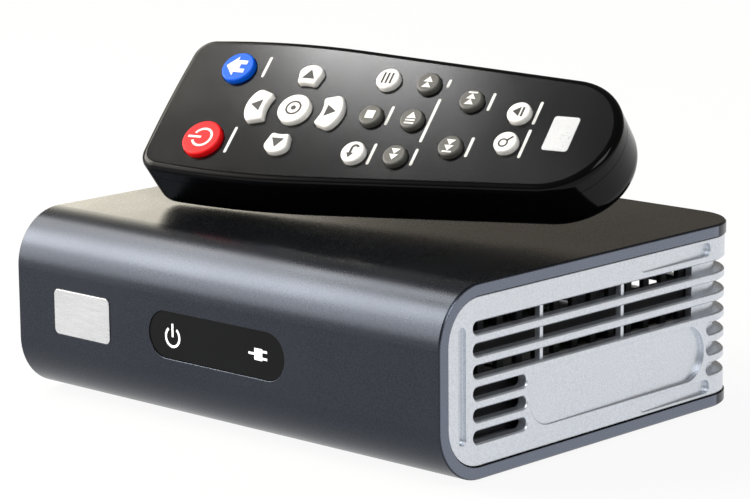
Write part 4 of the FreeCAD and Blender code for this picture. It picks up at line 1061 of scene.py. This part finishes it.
@dataclass
class RemoteControl:
    """The remote that leans on the lid: its cases, face plate, keys, signs and inside."""

    legend_thickness: float = 0.7
    top_depth: float = 0.1
    along: Vector = field(init=False)
    across: Vector = field(init=False)
    out: Vector = field(init=False)

    def build(self) -> None:
        """Dresses the remote and prints its signs and the short lines beside its keys."""
        dress("remote_top_case", "remote_bottom_case", "remote_face_plate", "remote_label_plate",
              "remote_ir_window", "remote_ir_lamp", "remote_circuit_board", "remote_key_mat",
              "remote_batteries", "remote_battery_contacts", "remote_screws", "battery_door")
        self.read_pose()
        for name, (ink, *marks) in KEY_SIGNS.items():
            dress(name)
            Sign(name + "_sign", *marks).print_on(self.key_face(name), *ink.value)
        self.print_legends()

    def read_pose(self) -> None:
        """Reads the remote's own directions from its joints: along it, across it and out of its face."""
        axes = {joint["name"]: Vector(joint["axis"]).normalized() for joint in frame["joints"]}
        self.along = axes["battery_door_slide"]
        self.out = -axes["enter_press"]
        self.across = self.out.cross(self.along).normalized()

    def key_face(self, name: str) -> Face:
        """Gives the top of a key, whose sign reads across the remote and stands towards its front end.

        Args:
            name: The key's node.

        Returns:
            The face that its sign is printed on.
        """
        points = [vert.co for vert in frame["nodes"][name].data.vertices]
        top = max(point.dot(self.out) for point in points)
        rim = [point for point in points if point.dot(self.out) > top - self.top_depth * MM]

        def middle(axis: Vector) -> float:
            """Gives the middle of the top along an axis."""
            places = [point.dot(axis) for point in rim]
            return (min(places) + max(places)) / 2

        place = self.along * middle(self.along) + self.across * middle(self.across) + self.out * top
        return Face(place, self.across, -self.along, name, name.replace("_key", "_button"))

    def print_legends(self) -> None:
        """Prints the short white lines beside the keys, with round ends."""
        half = self.legend_thickness / 2
        marks = []
        for along, start, end in LEGENDS.values():
            marks += [(Mark.BAR, (start + end) / 2, -along, end - start - 2 * half, 2 * half),
                      (Mark.DISC, start + half, -along, half), (Mark.DISC, end - half, -along, half)]
        face = Face(self.key_face("enter_key").middle, self.across, -self.along, "remote_face_plate", "remote")
        Sign("remote_legends", *marks).print_on(face, *Ink.WHITE.value)


# ---- studio and camera
WARM = (1.0, 0.95, 0.86)


@dataclass(frozen=True)
class SoftBox:
    """A square studio light.

    Args:
        title: Its name.
        toward: The way to it from the object.
        distance: How far it is.
        side: How wide it is.
        brightness: How bright its face is, where 1 is white.
        tint: Its colour.
    """

    title: str
    toward: tuple[float, float, float]
    distance: float
    side: float
    brightness: float
    tint: Colour = (1.0, 1.0, 1.0)

    def build(self, aim: Vector) -> None:
        """Hangs the light.

        Args:
            aim: The point that it is turned to.
        """
        lamp = bpy.data.lights.new(self.title, "AREA")
        lamp.shape = "SQUARE"
        lamp.size = self.side
        lamp.energy = self.brightness * math.pi * self.side ** 2
        lamp.color = self.tint
        light = put_in_scene(self.title, lamp)
        way = Vector(self.toward).normalized()
        turn = way.to_track_quat("Z", "Y").to_matrix().to_4x4()
        light.matrix_world = Matrix.Translation(aim + way * self.distance) @ turn


@dataclass
class Studio:
    """A pale floor under a soft studio sky, with soft boxes.

    The sky is dim ahead, with a glow to the front left. Low behind the object it is bright on the left.
    Each pair of a sky's spans is where a change starts and where it ends.
    """

    aim: tuple[float, float, float] = (0.0, 0.0, 0.03)
    floor_half: float = 12.0
    floor_colour: Colour = (0.86, 0.86, 0.86)
    floor_glow: float = 0.92
    glow_toward: tuple[float, float, float] = (-0.72, -0.6, 0.35)
    glow_reach: Pair = (0.8, 1.0)
    glow_colour: Colour = (7.0, 6.7, 6.2)
    ahead_colour: Colour = (0.16, 0.16, 0.165)
    behind_right_colour: Colour = (0.2, 0.175, 0.14)
    behind_left_colour: Colour = (3.1, 2.9, 2.4)
    left_span: Pair = (0.685, 0.725)
    back_span: Pair = (0.0, 0.5)
    low_span: Pair = (0.6, 0.2)
    boxes: tuple[SoftBox, ...] = (
        SoftBox("left_box", (-0.71, -0.42, 0.56), 1.1, 0.5, 11.0, WARM),
        SoftBox("top_box", (-0.69, -0.04, 0.72), 1.2, 0.36, 9.0, WARM),
        SoftBox("face_box", (-0.485, -0.128, 0.865), 1.24, 0.1, 20.0),
        SoftBox("right_box", (0.75, -0.25, 0.6), 1.4, 0.6, 5.0),
    )

    def build(self) -> None:
        """Lays the floor, hangs the lights and paints the sky."""
        self.lay_floor()
        for box in self.boxes:
            box.build(Vector(self.aim))
        self.paint_sky()
        bpy.context.scene.view_settings.view_transform = "Standard"
        log.info("set up the studio")

    def lay_floor(self) -> None:
        """Lays a wide floor at the level of the feet."""
        bm = bmesh.new()
        bmesh.ops.create_grid(bm, x_segments=8, y_segments=8, size=self.floor_half)
        mesh = bpy.data.meshes.new("studio_floor")
        bm.to_mesh(mesh)
        bm.free()
        floor = put_in_scene("studio_floor", mesh)
        mesh.materials.append(self.floor_material())

    def floor_material(self) -> bpy.types.Material:
        """Gives a floor that keeps the object's shadow and otherwise shows white.

        Returns:
            The floor's material.
        """
        made = bpy.data.materials.new("floor_white")
        made.use_nodes = True
        made.node_tree.nodes.clear()
        sheet = Wiring(made.node_tree)
        place = sheet.node("ShaderNodeTexCoord").outputs["Object"]
        skin = FleckedSkin().place(sheet, Vector=place, Color=(*self.floor_colour, 1.0), Fleck_Size=0.002,
                                   Fleck_Spread=0.02, Cloud_Size=0.5, Cloud_Spread=0.02, Roughness=0.9,
                                   Roughness_Spread=0.02)
        cloth = sheet.fed("ShaderNodeBsdfDiffuse", {"Color": skin.outputs["Color"]}).outputs[0]
        glow = sheet.node("ShaderNodeEmission").outputs[0]
        paths = sheet.node("ShaderNodeLightPath").outputs
        seen = sheet.sum("ADD", paths["Is Camera Ray"], paths["Is Glossy Ray"])
        seen = sheet.sum("ADD", seen, paths["Is Transmission Ray"], clamp=True)
        share = sheet.sum("MULTIPLY", seen, self.floor_glow)
        mixed = sheet.fed("ShaderNodeMixShader", {0: share, 1: cloth, 2: glow}).outputs[0]
        sheet.fed("ShaderNodeOutputMaterial", {"Surface": mixed})
        return made

    def paint_sky(self) -> None:
        """Paints the sky."""
        world = bpy.data.worlds.new("studio_sky")
        bpy.context.scene.world = world
        world.use_nodes = True
        world.node_tree.nodes.clear()
        sheet = Wiring(world.node_tree)
        toward = sheet.node("ShaderNodeTexCoord").outputs["Generated"]
        x, y, z = sheet.fed("ShaderNodeSeparateXYZ", {0: toward}).outputs
        leftness = sheet.span(sheet.sum("MULTIPLY", x, -1.0), *self.left_span)
        behind = sheet.sum("MULTIPLY", sheet.span(y, *self.back_span), sheet.span(z, *self.low_span))
        near = sheet.span(sheet.likeness(toward, self.glow_toward), *self.glow_reach)
        glow = sheet.sum("POWER", near, 2.0)
        front = sheet.blend(glow, self.ahead_colour, self.glow_colour)
        back = sheet.blend(leftness, self.behind_right_colour, self.behind_left_colour)
        colour = sheet.blend(behind, front, back)
        sky = sheet.fed("ShaderNodeBackground", {"Color": colour}).outputs[0]
        sheet.fed("ShaderNodeOutputWorld", {"Surface": sky})


@dataclass(frozen=True)
class Viewpoint:
    """The camera: its place, its turn in radians, its lens and sensor in millimetres and what it sees."""

    place: tuple[float, float, float] = (0.451572, -0.481158, 0.168218)
    yaw: float = -0.755
    pitch: float = 0.202
    roll: float = -0.009
    lens: float = 147.83
    sensor: float = 36.0
    nearest: float = 0.02
    farthest: float = 60.0

    def build(self) -> None:
        """Sets up the camera and makes it the scene's."""
        forward = Vector((math.sin(self.yaw) * math.cos(self.pitch), math.cos(self.yaw) * math.cos(self.pitch),
                          -math.sin(self.pitch)))
        right = Vector((math.cos(self.yaw), -math.sin(self.yaw), 0))
        level = Matrix((right, right.cross(forward), -forward)).transposed()
        turn = level @ Euler((0, 0, self.roll)).to_matrix()
        data = bpy.data.cameras.new("camera")
        data.lens = self.lens
        data.sensor_width = self.sensor
        data.clip_start = self.nearest
        data.clip_end = self.farthest
        camera = put_in_scene("camera", data)
        camera.matrix_world = Matrix.Translation(self.place) @ turn.to_4x4()
        bpy.context.scene.camera = camera
        log.info("set up the camera")


def main() -> None:
    """Sets up the camera and the studio, and builds the player and its remote."""
    logging.basicConfig(level=logging.INFO, format="%(name)s: %(message)s")
    Viewpoint().build()
    Studio().build()
    for assembly in (PlayerHousing(), PlayerInside(), PlayerPorts(), RemoteControl()):
        assembly.build()
        log.info("finished %s", type(assembly).__name__)


if __name__ == "__main__":
    main()
